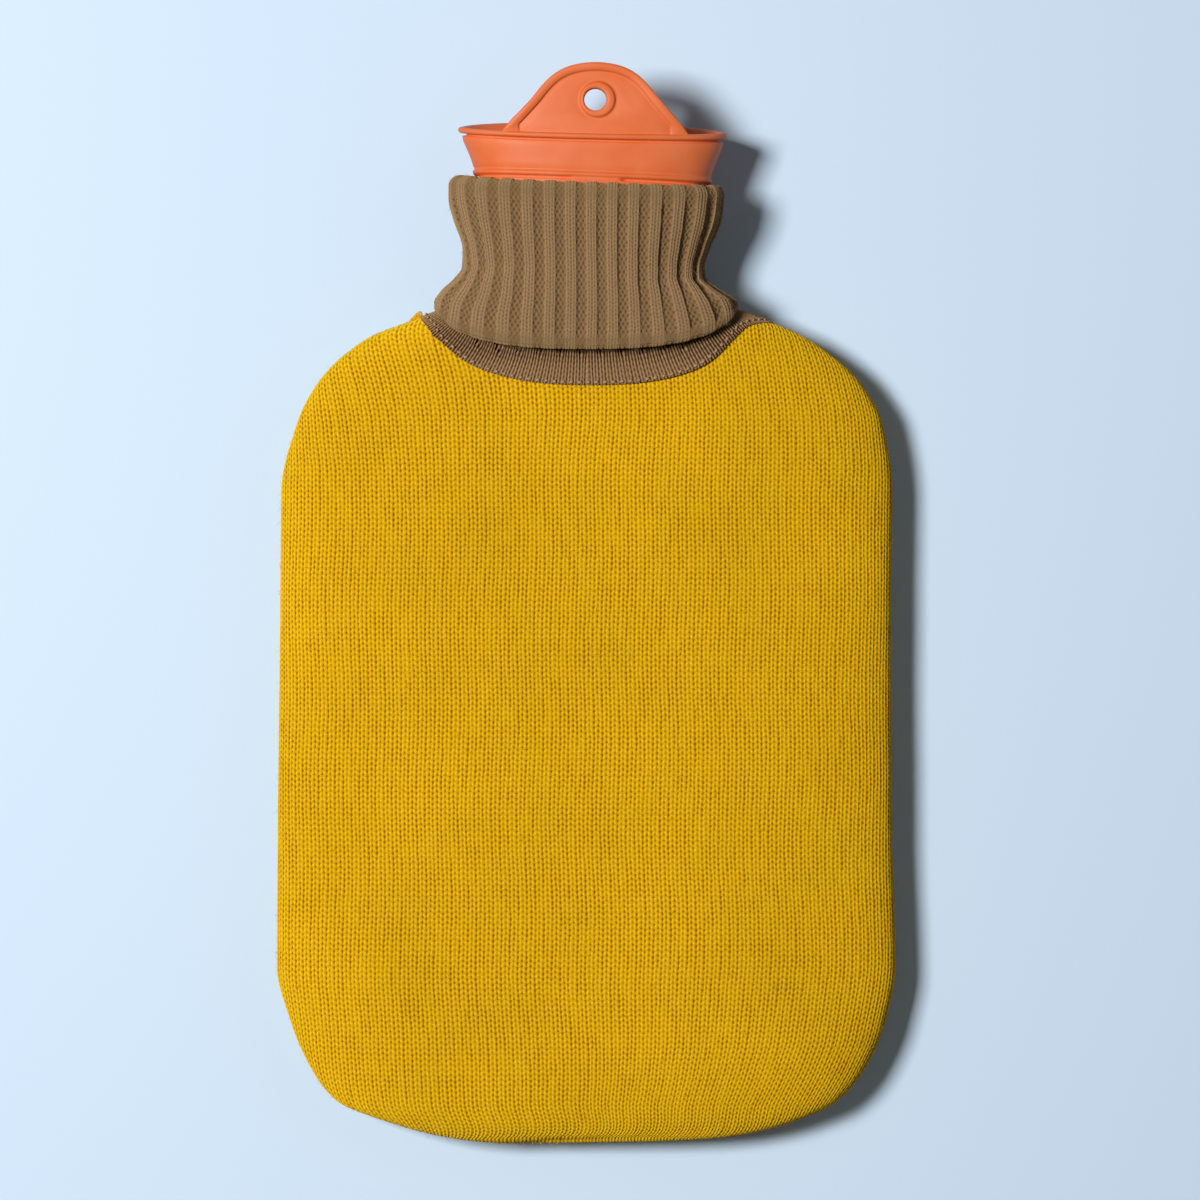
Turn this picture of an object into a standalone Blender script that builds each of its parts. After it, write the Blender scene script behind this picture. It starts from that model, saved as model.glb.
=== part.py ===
"""A rubber hot water bottle in its knitted cover, lying on its back.

X runs across the bottle, Y from its foot to its mouth and Z up from the table,
with the origin under the middle of the cover. Sizes are in millimetres, and are
turned to metres when a mesh is made.

The cover is two knitted panels joined round the side, a neck band that is linked
to their neckline, and a ribbed collar that is folded over. All of them, and the
bottle inside, are cut from one skin: `skin` gives its point at a height and an
angle round it, and an inset moves that point inward.
"""

import math

import bpy
import bmesh
import numpy as np

MM = 0.001
GAP = 0.3  # between two pieces that touch
TOLERANCE = 0.001

# Knitted panels
PANEL = 2.5  # thickness of the knitting
COLUMNS = 20  # faces across one panel
FOOT_Y = -176.0
FOOT_ROUND = 50.0  # length over which the panels close towards the foot
PANEL_ROWS = (-176, -175.1, -173.5, -170.5, -166, -159, -149, -137, -122, -100, -60, -15, 30)
NECKLINE_STEPS = 7  # rows between the last of those and the neckline
OUTLINE = (
    # y, left edge x, right edge x
    (-176.0, -30, -8),
    (-175.1, -39, 31),
    (-173.5, -48.5, 50),
    (-170.0, -61.5, 65),
    (-162.0, -81.5, 82.5),
    (-150.0, -90.5, 92.2),
    (-136.0, -96.4, 98),
    (-118.0, -100.8, 101.2),
    (-72.0, -100.5, 100),
    (0.0, -99.7, 99.7),
    (36.0, -99.4, 100.2),
    (58.0, -94.3, 97),
    (72.0, -87, 89.2),
    (85.5, -71.7, 72.6),
    (92.0, -55.3, 57.7),
    (95.0, -47.6, 49.6),
    (97.2, -40.5, 41),
    (98.5, -36.5, 35.9),
)
BODY_SECTION = (
    # y, seam z, front z, back z, side power, front power, back power
    (-176.0, 14, 34, -0.6, 0.5, 1.0, 0.5),
    (40.0, 14, 34, -0.6, 0.5, 1.0, 0.5),
    (60.0, 14.4, 34.2, 0.2, 0.53, 1.0, 0.54),
    (75.0, 16.2, 34.9, 2.0, 0.63, 1.08, 0.7),
    (85.0, 18.6, 36.3, 3.4, 0.82, 1.3, 1.1),
    (92.0, 20.7, 37.9, 4.0, 1.0, 1.45, 1.45),
    (98.5, 22, 39.8, 4.2, 0.8, 0.8, 0.8),
)

# Neckline, where the band is linked to the panels
NECKLINE_SIDE_Y = 93.3
NECKLINE_FRONT_Y = 69.8
NECKLINE_BACK_Y = 84.0
NECKLINE_POWER = 1.7  # how late the neckline climbs to its sides
NECKLINE_SPREAD = 0.7
NECK_Y = 98.5  # where the band ends and the collar starts
BAND_STEPS = 5

# Bottle: its neck and mouth. The rest follows the cover from inside.
BOTTLE_INSET = 4.0
BOTTLE_ROWS = (-176, -174.5, -171, -163, -149, -125, -80, 0, 40, 62, 76, 86, 92)
SHOULDER_ROWS = ((94.5, 3.9), (96.0, 3.7), (97.2, 3.5), (98.2, 3.2), (98.5, 2.9))  # y, inset
BOTTLE_NECK = (
    # y, centre x, half width, lowest z, highest z, power
    (98.5, -0.3, 33.4, 7.0, 37.0, 0.8),
    (108.0, -0.7, 33.4, 7.0, 37.0, 0.8),
    (118.0, 0.4, 35.2, 7.0, 38.8, 0.78),
    (127.0, 1.3, 37.3, 7.0, 40.9, 0.74),
    (135.0, 2.0, 37.9, 7.0, 42.0, 0.7),
    (139.5, 2.3, 38.6, 7.0, 42.2, 0.68),
    (144.3, 2.3, 40.3, 7.0, 42.6, 0.68),
    (148.5, 2.3, 42.0, 7.0, 43.0, 0.68),
    (152.4, 2.3, 42.4, 7.0, 43.0, 0.68),
)
NECK_ROWS = (98.8, 109.0, 121.0, 132.8, 136.2)
BASE_BEAD = ((136.7, 0.9), (138.1, 0.9), (138.7, 0.0))  # y, how far it stands out
LIP = ((149.7, 0.2), (150.1, 1.1), (152.4, 1.1))
MOUTH_ROWS = (143.0, 147.0)
RIM_Y = 152.4
RIM_LEAN = 0.036  # the rim drops this much for each millimetre to the right
RIM_TILT = 2.65  # the front of the rim is this much lower than its middle
RIM_WALL = 3.4
FUNNEL = (
    # y, share of the rim's half width, share of its half depth
    (147.0, 0.86, 0.75),
    (139.0, 0.68, 0.66),
    (131.0, 0.38, 0.6),
    (127.5, 0.285, 0.58),
    (101.0, 0.27, 0.56),
)
FUNNEL_POWER = 0.8

# Collar: one strip of ribbing with its edge folded down over its outside
COLLAR_OUTSIDE = (
    # y, left x, right x, front z, back z, power
    (82.0, -49.5, 50.5, 43.0, 0.4, 0.74),
    (97.0, -48.9, 49.5, 44.6, 0.4, 0.76),
    (101.0, -46.6, 44.2, 44.5, 0.4, 0.78),
    (104.5, -42.9, 39.6, 44.0, 0.4, 0.8),
    (108.5, -40.2, 38.9, 43.6, 0.4, 0.8),
    (114.0, -40.0, 40.4, 44.4, 0.4, 0.79),
    (124.0, -42.9, 44.1, 46.8, 0.4, 0.76),
    (130.5, -44.3, 44.8, 48.2, 0.4, 0.73),
    (137.0, -44.1, 45.6, 48.8, 0.4, 0.7),
)
RIBS = 30
RIB_SHARES = (0.05, 0.5, 0.58, 0.97)  # ridge from, ridge to, groove from, groove to
RIB_RISE = 0.8
RIB_RISE_AT_FOLD = 0.5
RIB_PITCH = 6.6  # across the front and the back; they spread at the sides
RIB_SHIFT = 0.43  # of a rib, from the middle of the front to the left
RIB_MIDDLE_X = 0.2  # the ribs run straight up and down here, at the front
RING_SAMPLES = 1200
FRONT_SINE = 0.5  # the middle of the front is looked for where an angle's sine is over this
OUTER_LAYER = 3.2  # with its ribs
INNER_LAYER = 2.2
FOLD_Y = 132.8  # where the two layers start to turn over
FOLD_FRONT_DROP = 2.0
FOLD_RISE = 4.0
FOLD_TURNS = (45, 90, 135)  # degrees over the fold
HEM_SIDE_Y = 97.2
HEM_FRONT_DROP = 15.0
HEM_BACK_DROP = 6.0
HEM_CLEARANCE = 0.6  # over the shoulders
OUTER_STEPS = 7
FOLD_ROOM = 0.5  # from there down to the top of the space between the layers
LAYER_ROWS = (109.0, 121.0)

# Hanging tab, which stands on the front of the rim
TAB_X = 3.2
TAB_FACE = 2.6  # thickness of the plate
TAB_BEAD = 0.9  # how far the edge bead and the ring stand up
TAB_BEAD_WIDE = 2.3
TAB_EDGE = (
    # height over the rim's middle, half width
    (0.0, 30.6),
    (1.9, 28.4),
    (3.8, 26.8),
    (7.6, 23.4),
    (11.4, 20.1),
    (15.1, 17.1),
    (19.0, 12.9),
    (21.1, 8.8),
    (22.5, 0.0),
)
TAB_FLATTENS = 0.6  # share of the rim's bend that the tab has lost at its hole
ARCH_TURNS = 40  # faces round the tab's arch
BASE_TURNS = 12  # faces along its base
HOLE_HEIGHT = 10.6
HOLE_RADIUS = 3.55
RING_RADIUS = 5.5
RING_SHIFT = 0.7  # the ring sits this much to the right of the hole
MOULD_EDGE = 0.5  # width of the slopes beside the bead and the ring
BASE_EDGE = 0.3  # spacing of the rings along the base, which has no bead

SHARP_EDGE = 40  # degrees; flatter edges are shaded smooth
COLOURS = {
    # name: (linear red, green and blue), roughness
    "rubber": ((0.78, 0.19, 0.08), 0.45),
    "yellow_yarn": ((0.63, 0.34, 0.01), 0.9),
    "brown_yarn": ((0.25, 0.15, 0.08), 0.95),
}


def read_rows(rows, at):
    """The other columns of a table at this value of its first, on a smooth curve through its rows."""
    table = np.array(rows, float)
    key, columns = table[:, 0], table[:, 1:]
    at = min(max(at, key[0]), key[-1])
    step = np.diff(key)
    rise = np.diff(columns, axis=0) / step[:, None]
    slope = np.zeros_like(columns)
    slope[0], slope[-1] = rise[0], rise[-1]
    steady = rise[:-1] * rise[1:] > 0
    total = np.where(steady, rise[:-1] + rise[1:], 1)
    slope[1:-1] = np.where(steady, 2 * rise[:-1] * rise[1:] / total, 0)
    i = min(int(np.searchsorted(key, at, side="right")) - 1, len(step) - 1)
    t, length = (at - key[i]) / step[i], step[i]
    return (
        (1 + 2 * t) * (1 - t) ** 2 * columns[i]
        + t * (1 - t) ** 2 * length * slope[i]
        + t * t * (3 - 2 * t) * columns[i + 1]
        + t * t * (t - 1) * length * slope[i + 1]
    )


def bend(value, power):
    """A sine or cosine raised to a power with its sign kept, which squares up an oval."""
    return math.copysign(abs(value) ** power, value)


# The skin of the cover


def skin(y, angle, inset=0.0, apart=0.0):
    """The point of the cover's skin at a height and an angle round it.

    Angle 0 is the right edge and a quarter turn on is the front. inset moves the point
    inward, and apart moves it off the side seam.
    """
    left, right = read_rows(OUTLINE, y)
    seam, front, back, side_power, front_power, back_power = read_rows(BODY_SECTION, y)
    to_foot = max(0.0, (FOOT_Y + FOOT_ROUND - y) / FOOT_ROUND)
    plump = math.sqrt(max(0.0, 1 - to_foot**4))
    x = (left + right) / 2 + ((right - left) / 2 - inset) * bend(math.cos(angle), side_power)
    rise = abs(math.sin(angle))
    if math.sin(angle) >= 0:
        z = seam + apart + (front - seam - inset) * plump * rise**front_power
    else:
        z = max(inset, seam - apart - (seam - back - inset) * plump * rise**back_power)
    return x, y + inset * to_foot, z


def front_of_skin(x, y):
    """The height of the skin's front over a point of the table, or None outside its outline."""
    left, right = read_rows(OUTLINE, y)
    seam, front, _, side_power, front_power, _ = read_rows(BODY_SECTION, y)
    across = abs(x - (left + right) / 2) / ((right - left) / 2)
    if y > NECK_Y or across >= 1:
        return None
    cosine = across ** (1 / side_power)
    return seam + (front - seam) * math.sqrt(1 - cosine**2) ** front_power


def neckline_y(angle):
    """The height of the neckline at an angle round the neck."""
    lowest = NECKLINE_FRONT_Y if math.sin(angle) >= 0 else NECKLINE_BACK_Y
    across = abs(math.cos(angle)) ** NECKLINE_SPREAD
    climb = 1 - (1 - min(1.0, across**2)) ** NECKLINE_POWER
    return lowest + (NECKLINE_SIDE_Y - lowest) * climb


# Meshes


def add_object(name, rings, closed_round, closed_along, colour):
    """A closed solid from rings of points, each joined to the next.

    closed_round joins the last point of a ring to its first. closed_along joins the last
    ring to the first, and without it the first and the last ring are capped.
    """
    mesh = bmesh.new()
    verts = [[mesh.verts.new([v * MM for v in point]) for point in ring] for ring in rings]
    around = len(rings[0]) if closed_round else len(rings[0]) - 1
    along = len(rings) if closed_along else len(rings) - 1
    for i in range(along):
        one, other = verts[i], verts[(i + 1) % len(verts)]
        for j in range(around):
            k = (j + 1) % len(one)
            mesh.faces.new((one[j], one[k], other[k], other[j]))
    if not closed_along:
        mesh.faces.new(verts[0][::-1])
        mesh.faces.new(verts[-1])
    return finish_object(name, mesh, colour)


def finish_object(name, mesh, colour):
    """Turns a bmesh into a shaded object with its material."""
    bmesh.ops.recalc_face_normals(mesh, faces=mesh.faces)
    data = bpy.data.meshes.new(name)
    mesh.to_mesh(data)
    mesh.free()
    data.shade_smooth()
    data.set_sharp_from_angle(angle=math.radians(SHARP_EDGE))
    obj = bpy.data.objects.new(name, data)
    bpy.context.scene.collection.objects.link(obj)
    data.materials.append(material(name, colour))
    return obj


def material(name, colour):
    rgb, roughness = COLOURS[colour]
    finish = bpy.data.materials.new(name)
    finish.use_nodes = True
    shader = finish.node_tree.nodes["Principled BSDF"]
    shader.inputs["Base Color"].default_value = (*rgb, 1)
    shader.inputs["Roughness"].default_value = roughness
    shader.inputs["Metallic"].default_value = 0
    return finish


def sheet_solid(name, outer, inner, colour):
    """A closed solid from a sheet's outer and inner grids of points, which have the same size."""
    mesh = bmesh.new()
    top, under = (
        [[mesh.verts.new([v * MM for v in point]) for point in row] for row in grid]
        for grid in (outer, inner)
    )
    rows, columns = len(top), len(top[0])
    for i in range(rows - 1):
        for j in range(columns - 1):
            mesh.faces.new((top[i][j], top[i][j + 1], top[i + 1][j + 1], top[i + 1][j]))
            mesh.faces.new((under[i][j], under[i + 1][j], under[i + 1][j + 1], under[i][j + 1]))
    for i in (0, rows - 1):
        for j in range(columns - 1):
            mesh.faces.new((top[i][j], under[i][j], under[i][j + 1], top[i][j + 1]))
    for j in (0, columns - 1):
        for i in range(rows - 1):
            mesh.faces.new((top[i][j], top[i + 1][j], under[i + 1][j], under[i][j]))
    return finish_object(name, mesh, colour)


# Knitted panels and neck band


def round_angles():
    """The angles of the panels' columns, all the way round."""
    return [math.pi * j / COLUMNS for j in range(2 * COLUMNS)]


def make_panel(name, side):
    """One panel: side is 1 for the front and -1 for the back."""
    angles = [side * math.pi * j / COLUMNS for j in range(COLUMNS + 1)]
    grids = []
    for inset in (0.0, PANEL):
        rows = [[skin(y, a, inset, GAP / 2) for a in angles] for y in PANEL_ROWS]
        start = PANEL_ROWS[-1]
        for i in range(1, NECKLINE_STEPS + 1):
            share = i / NECKLINE_STEPS
            heights = [start + (neckline_y(a) - start) * share for a in angles]
            rows.append([skin(y, a, inset, GAP / 2) for y, a in zip(heights, angles)])
        grids.append(rows)
    return sheet_solid(name, grids[0], grids[1], "yellow_yarn")


def make_band():
    """The neck band, a ring from the neckline up to the foot of the collar."""
    rings = []
    for inset, shares in ((0.0, range(BAND_STEPS + 1)), (PANEL, range(BAND_STEPS, -1, -1))):
        for i in shares:
            ring = []
            for a in round_angles():
                start = neckline_y(a) + GAP
                ring.append(skin(start + (NECK_Y - start) * i / BAND_STEPS, a, inset))
            rings.append(ring)
    return add_object("neck_band", rings, True, True, "brown_yarn")


# Bottle


def neck_point(y, angle, out=0.0):
    """The point of the bottle's neck or mouth at a height and an angle round it."""
    centre, half_wide, low, high, power = read_rows(BOTTLE_NECK, y)
    x = centre + (half_wide + out) * bend(math.cos(angle), power)
    z = (low + high) / 2 + ((high - low) / 2 + out) * bend(math.sin(angle), power)
    lean = RIM_LEAN * min(1.0, max(0.0, (y - NECK_Y) / (FOLD_Y - NECK_Y)))
    tilt = RIM_TILT * max(0.0, (y - FOLD_Y) / (RIM_Y - FOLD_Y))
    return x, y - lean * (x - centre) - tilt * math.sin(angle), z


def make_bottle():
    """The bottle, from its foot inside the cover up over the rim and down into the throat."""
    angles = round_angles()
    rings = []
    for y in BOTTLE_ROWS:
        rings.append([skin(y, a, BOTTLE_INSET) for a in angles])
    for y, inset in SHOULDER_ROWS:
        rings.append([skin(y, a, inset) for a in angles])
    for y in NECK_ROWS:
        rings.append([neck_point(y, a) for a in angles])
    for y, out in BASE_BEAD:
        rings.append([neck_point(y, a, out) for a in angles])
    for y in MOUTH_ROWS:
        rings.append([neck_point(y, a) for a in angles])
    for y, out in LIP:
        rings.append([neck_point(y, a, out) for a in angles])
    rings.append([neck_point(RIM_Y, a, LIP[-1][1] - RIM_WALL) for a in angles])
    centre, half_wide, low, high, _ = read_rows(BOTTLE_NECK, RIM_Y)
    for y, wide, deep in FUNNEL:
        tilt = RIM_TILT * (y - FUNNEL[-1][0]) / (RIM_Y - FUNNEL[-1][0])
        rings.append(
            [
                (
                    centre + half_wide * wide * bend(math.cos(a), FUNNEL_POWER),
                    y - tilt * math.sin(a),
                    (low + high) / 2 + (high - low) / 2 * deep * bend(math.sin(a), FUNNEL_POWER),
                )
                for a in angles
            ]
        )
    return add_object("bottle", rings, True, False, "rubber")


# Collar


def rib_angles(ring):
    """Angles round one ring of the collar that set its ribs, four to a rib, from the back."""
    fine = math.pi / 2 + np.linspace(-1.1, 1.1, RING_SAMPLES + 1) * math.pi
    points = np.array([ring(a)[0::2] for a in fine])
    run = np.concatenate([[0], np.cumsum(np.linalg.norm(np.diff(points, axis=0), axis=1))])
    back, back_again = np.interp((-math.pi / 2, math.pi * 3 / 2), fine, run)
    ahead = np.sin(fine) > FRONT_SINE
    front = np.interp(-RIB_MIDDLE_X, -points[ahead, 0], run[ahead])
    evenly = RIB_PITCH * RIBS / (back_again - back)
    angles = []
    for rib in range(RIBS):
        for share in RIB_SHARES:
            way = 2 * (rib + share + RIB_SHIFT) / RIBS - 1
            way -= (1 - evenly) * math.sin(2 * math.pi * way) / (2 * math.pi)
            half = back_again - front if way > 0 else front - back
            angles.append(float(np.interp(front + way * half, run, fine)))
    return angles


def collar_outside(y, angle, inset=0.0):
    """The point of the folded-down layer at a height and an angle round it."""
    left, right, front, back, power = read_rows(COLLAR_OUTSIDE, y)
    x = (left + right) / 2 + ((right - left) / 2 - inset) * bend(math.cos(angle), power)
    z = (front + back) / 2 + ((front - back) / 2 - inset) * bend(math.sin(angle), power)
    shoulder = front_of_skin(x, y) if math.sin(angle) > 0 else None
    if shoulder is not None:
        z = max(z, shoulder + HEM_CLEARANCE + OUTER_LAYER - inset)
    return x, y, z


def hem_y(angle):
    drop = HEM_FRONT_DROP if math.sin(angle) >= 0 else HEM_BACK_DROP
    return HEM_SIDE_Y - drop * abs(math.sin(angle))


def fold_y(angle):
    return FOLD_Y - FOLD_FRONT_DROP * max(0.0, math.sin(angle))


def rib_ring(ring, rise=0.0):
    """The points of a ring of the collar, with its grooves sunk by rise."""
    angles = rib_angles(lambda angle: ring(angle, 0.0))
    return [ring(angle, 0.0 if j % 4 < 2 else rise) for j, angle in enumerate(angles)]


def neck_ring(y, out):
    """A ring of the inner layer. Without a y it is the one where the fold starts."""
    return rib_ring(lambda a, _: neck_point(fold_y(a) if y is None else y, a, out))


def make_collar():
    """The strip from its hem up the outside, over the fold, down the neck and back between."""

    def outside(share):
        def ring(angle, inset):
            hem, fold = hem_y(angle), neck_point(fold_y(angle), angle, GAP)[1]
            return collar_outside(hem + (fold - hem) * share, angle, inset)

        return rib_ring(ring, RIB_RISE)

    def between(y):
        def ring(angle, _):
            top = fold_y(angle) - FOLD_ROOM if y is None else y
            beside = neck_point(top, angle, GAP + INNER_LAYER)[1]
            return collar_outside(beside, angle, OUTER_LAYER)

        return rib_ring(ring)

    rings = [outside(i / OUTER_STEPS) for i in range(OUTER_STEPS + 1)]
    inner = neck_ring(None, GAP)
    for degrees in FOLD_TURNS:
        swing = math.cos(math.radians(degrees))
        turn = []
        for j, (one, other) in enumerate(zip(rings[OUTER_STEPS], inner)):
            x, y, z = (a + (b - a) * (1 - swing) / 2 for a, b in zip(one, other))
            sunk = 0.0 if j % 4 < 2 else RIB_RISE_AT_FOLD
            turn.append((x, y + (FOLD_RISE - sunk) * math.sin(math.radians(degrees)), z))
        rings.append(turn)
    rings.append(inner)
    rings += [neck_ring(y, GAP) for y in (*LAYER_ROWS[::-1], NECK_Y + GAP)]
    rings += [neck_ring(y, GAP + INNER_LAYER) for y in (NECK_Y + GAP, *LAYER_ROWS)]
    rings.append(rib_ring(lambda a, _: neck_point(fold_y(a) - FOLD_ROOM, a, GAP + INNER_LAYER)))
    rings += [between(y) for y in (None, *LAYER_ROWS[::-1], NECK_Y + GAP)]
    rings.append(rib_ring(lambda a, _: collar_outside(hem_y(a), a, OUTER_LAYER)))
    return add_object("roll_collar", rings, True, True, "brown_yarn")


# Hanging tab


def rim_front(x):
    """The height along Y and the front face's Z of the rim at this x."""
    centre, half_wide, low, high, power = read_rows(BOTTLE_NECK, RIM_Y)
    cosine = min(1.0, abs(x - centre) / half_wide) ** (1 / power)
    sine = math.sqrt(max(0.0, 1 - cosine**2))
    y = RIM_Y - RIM_LEAN * (x - centre) - RIM_TILT * sine
    return y, (low + high) / 2 + (high - low) / 2 * bend(sine, power)


def tab_directions():
    """Directions from the hole to the tab's edge, as (angle, whether it meets the base)."""
    corner = math.atan2(HOLE_HEIGHT, TAB_EDGE[0][1])
    arch = [-corner + (math.pi + 2 * corner) * j / ARCH_TURNS for j in range(ARCH_TURNS + 1)]
    base = [math.pi + corner + (math.pi - 2 * corner) * j / BASE_TURNS for j in range(1, BASE_TURNS)]
    return [(angle, False) for angle in arch] + [(angle, True) for angle in base]


def tab_reach(direction, meets_base):
    """How far the tab's edge lies from the hole."""
    if meets_base:
        return -HOLE_HEIGHT / math.sin(direction)
    squares = [(height, half**2) for height, half in TAB_EDGE]  # which keeps the top round
    near, far = 0.0, TAB_EDGE[0][1] * 2
    while far - near > TOLERANCE:
        middle = (near + far) / 2
        height = HOLE_HEIGHT + middle * math.sin(direction)
        inside = 0 <= height < TAB_EDGE[-1][0]
        inside = inside and (middle * math.cos(direction)) ** 2 < read_rows(squares, height)[0]
        near, far = (middle, far) if inside else (near, middle)
    return near


def tab_point(direction, distance, stand, shift=0.0):
    """A point of the tab, which bends with the front of the rim: stand is its height off the face."""
    x = TAB_X + shift + distance * math.cos(direction)
    up = HOLE_HEIGHT + distance * math.sin(direction)
    rim_y, rim_z = rim_front(x)
    middle_y, middle_z = rim_front(TAB_X)
    share = min(1.0, up / HOLE_HEIGHT)
    y = up + GAP + rim_y + (middle_y - rim_y) * share
    return x, y, middle_z + (rim_z - middle_z) * (1 - TAB_FLATTENS * share) + stand


def make_tab():
    """The tab, as rings of points from its hole over the ring and the bead and back underneath."""
    rings = [[] for _ in range(8)]
    for direction, meets_base in tab_directions():
        reach = tab_reach(direction, meets_base)
        bead, wide, slope = TAB_BEAD, TAB_BEAD_WIDE, MOULD_EDGE
        if meets_base:
            bead, wide, slope = 0.0, BASE_EDGE, BASE_EDGE
        section = (
            (HOLE_RADIUS, TAB_BEAD, 0.0),
            (RING_RADIUS, TAB_BEAD, RING_SHIFT),
            (RING_RADIUS + MOULD_EDGE, 0.0, RING_SHIFT),
            (reach - wide - slope, 0.0, 0.0),
            (reach - wide, bead, 0.0),
            (reach, bead, 0.0),
            (reach, -TAB_FACE, 0.0),
            (HOLE_RADIUS, -TAB_FACE, 0.0),
        )
        for ring, (distance, stand, shift) in zip(rings, section):
            ring.append(tab_point(direction, distance, stand, shift))
    return add_object("hanging_tab", rings, True, True, "rubber")


def main():
    for obj in list(bpy.data.objects):
        bpy.data.objects.remove(obj)
    make_bottle()
    make_tab()
    make_panel("body_front", 1)
    make_panel("body_back", -1)
    make_band()
    make_collar()


main()
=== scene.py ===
# %% [markdown]
# A rubber hot water bottle in its knitted cover. The cover is two stockinette panels of
# mustard yarn, a brown neck band that is linked to them, and a tube of brown 2 by 2 ribbing
# whose edge is folded down as a collar. The bottle's flared mouth and hanging tab stand out
# of it. Every piece here is made around the solids of the CAD model, in the same frame: X
# across, Y from the foot to the mouth, Z up. Sizes are in millimetres until a mesh is made.

import math

import bmesh
import bpy
import numpy as np
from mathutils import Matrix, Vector


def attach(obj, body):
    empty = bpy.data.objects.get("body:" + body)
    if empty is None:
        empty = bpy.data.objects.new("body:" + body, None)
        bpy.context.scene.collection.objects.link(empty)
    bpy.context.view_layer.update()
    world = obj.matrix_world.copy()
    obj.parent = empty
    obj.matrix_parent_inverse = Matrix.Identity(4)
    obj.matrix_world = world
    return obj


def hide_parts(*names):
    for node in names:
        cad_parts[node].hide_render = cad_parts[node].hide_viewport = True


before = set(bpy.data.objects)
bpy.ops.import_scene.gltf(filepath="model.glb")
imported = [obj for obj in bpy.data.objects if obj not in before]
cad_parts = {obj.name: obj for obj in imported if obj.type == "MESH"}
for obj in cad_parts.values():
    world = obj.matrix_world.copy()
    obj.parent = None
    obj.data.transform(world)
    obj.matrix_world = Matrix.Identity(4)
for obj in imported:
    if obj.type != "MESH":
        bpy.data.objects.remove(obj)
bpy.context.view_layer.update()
MM = 0.001
print("CAD nodes:", sorted(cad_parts))

# %% [markdown]
# The shape of the real cover comes from one thing: a full bottle that pushes the knitting
# out. It could be a subdivided box, or cloth that is blown up in a simulation. Here it is a
# table of sections and one function that reads them, because nearly the same numbers made
# the CAD solids, so the finer meshes lie close to them without any fitting.

# %% Sizes of the cover's skin
FOOT_Y, FOOT_ROUND, NECK_Y = -176.0, 50.0, 98.5
OUTLINE = (  # y, left edge x, right edge x
    (-176.0, -30, -8), (-175.1, -39, 31), (-173.5, -48.5, 50), (-170.0, -61.5, 65),
    (-162.0, -81.5, 82.5), (-150.0, -90.5, 92.2), (-136.0, -96.4, 98), (-118.0, -100.8, 101.2),
    (-72.0, -100.5, 100), (0.0, -99.7, 99.7), (36.0, -99.4, 100.2), (58.0, -94.3, 97),
    (72.0, -87, 89.2), (85.5, -71.7, 72.6), (92.0, -55.3, 57.7), (95.0, -47.6, 49.6),
    (97.2, -40.5, 41), (98.5, -36.5, 35.9),
)
BODY_SECTION = (  # y, seam z, front z, back z, side power, front power, back power
    (-176.0, 16, 34, -0.6, 0.5, 1.0, 0.5), (40.0, 16, 34, -0.6, 0.5, 1.0, 0.5),
    (60.0, 16.3, 34.2, 0.2, 0.53, 1.0, 0.54), (75.0, 17.3, 34.9, 2.0, 0.63, 1.08, 0.7),
    (85.0, 18.9, 36.3, 3.4, 0.82, 1.3, 1.1), (92.0, 20.7, 37.9, 4.0, 1.0, 1.45, 1.45),
    (98.5, 22, 39.8, 4.2, 0.8, 0.8, 0.8),
)
NECKLINE_LEFT_Y, NECKLINE_RIGHT_Y, NECKLINE_FRONT_Y, NECKLINE_BACK_Y = 90.0, 90.9, 69.9, 82.0
NECKLINE_PEAK, NECKLINE_PEAK_OVER = 2.8, 0.5  # the left shoulder's corner runs further up
NECKLINE_POWER, NECKLINE_SPREAD = 2.0, 0.7


def read_rows(rows, at):
    """The other columns of a table, on a smooth curve through its rows, for an array of values."""
    table = np.array(rows, float)
    key, columns = table[:, 0], table[:, 1:].T
    at = np.clip(np.asarray(at, float), key[0], key[-1])
    step = np.diff(key)
    rise = np.diff(columns, axis=1) / step
    slope = np.zeros_like(columns)
    slope[:, 0], slope[:, -1] = rise[:, 0], rise[:, -1]
    steady = rise[:, :-1] * rise[:, 1:] > 0
    total = np.where(steady, rise[:, :-1] + rise[:, 1:], 1)
    slope[:, 1:-1] = np.where(steady, 2 * rise[:, :-1] * rise[:, 1:] / total, 0)
    i = np.clip(np.searchsorted(key, at, side="right") - 1, 0, len(step) - 1)
    t, length = (at - key[i]) / step[i], step[i]
    return (
        (1 + 2 * t) * (1 - t) ** 2 * columns[:, i]
        + t * (1 - t) ** 2 * length * slope[:, i]
        + t * t * (3 - 2 * t) * columns[:, i + 1]
        + t * t * (t - 1) * length * slope[:, i + 1]
    )


def bend(value, power):
    """A sine or cosine raised to a power with its sign kept, which squares up an oval."""
    return np.sign(value) * np.abs(value) ** power


def oval(angle, left, right, low, high, power, out=0.0):
    """X and Z of points round a squared-up oval."""
    x = (left + right) / 2 + ((right - left) / 2 + out) * bend(np.cos(angle), power)
    return x, (low + high) / 2 + ((high - low) / 2 + out) * bend(np.sin(angle), power)


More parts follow.
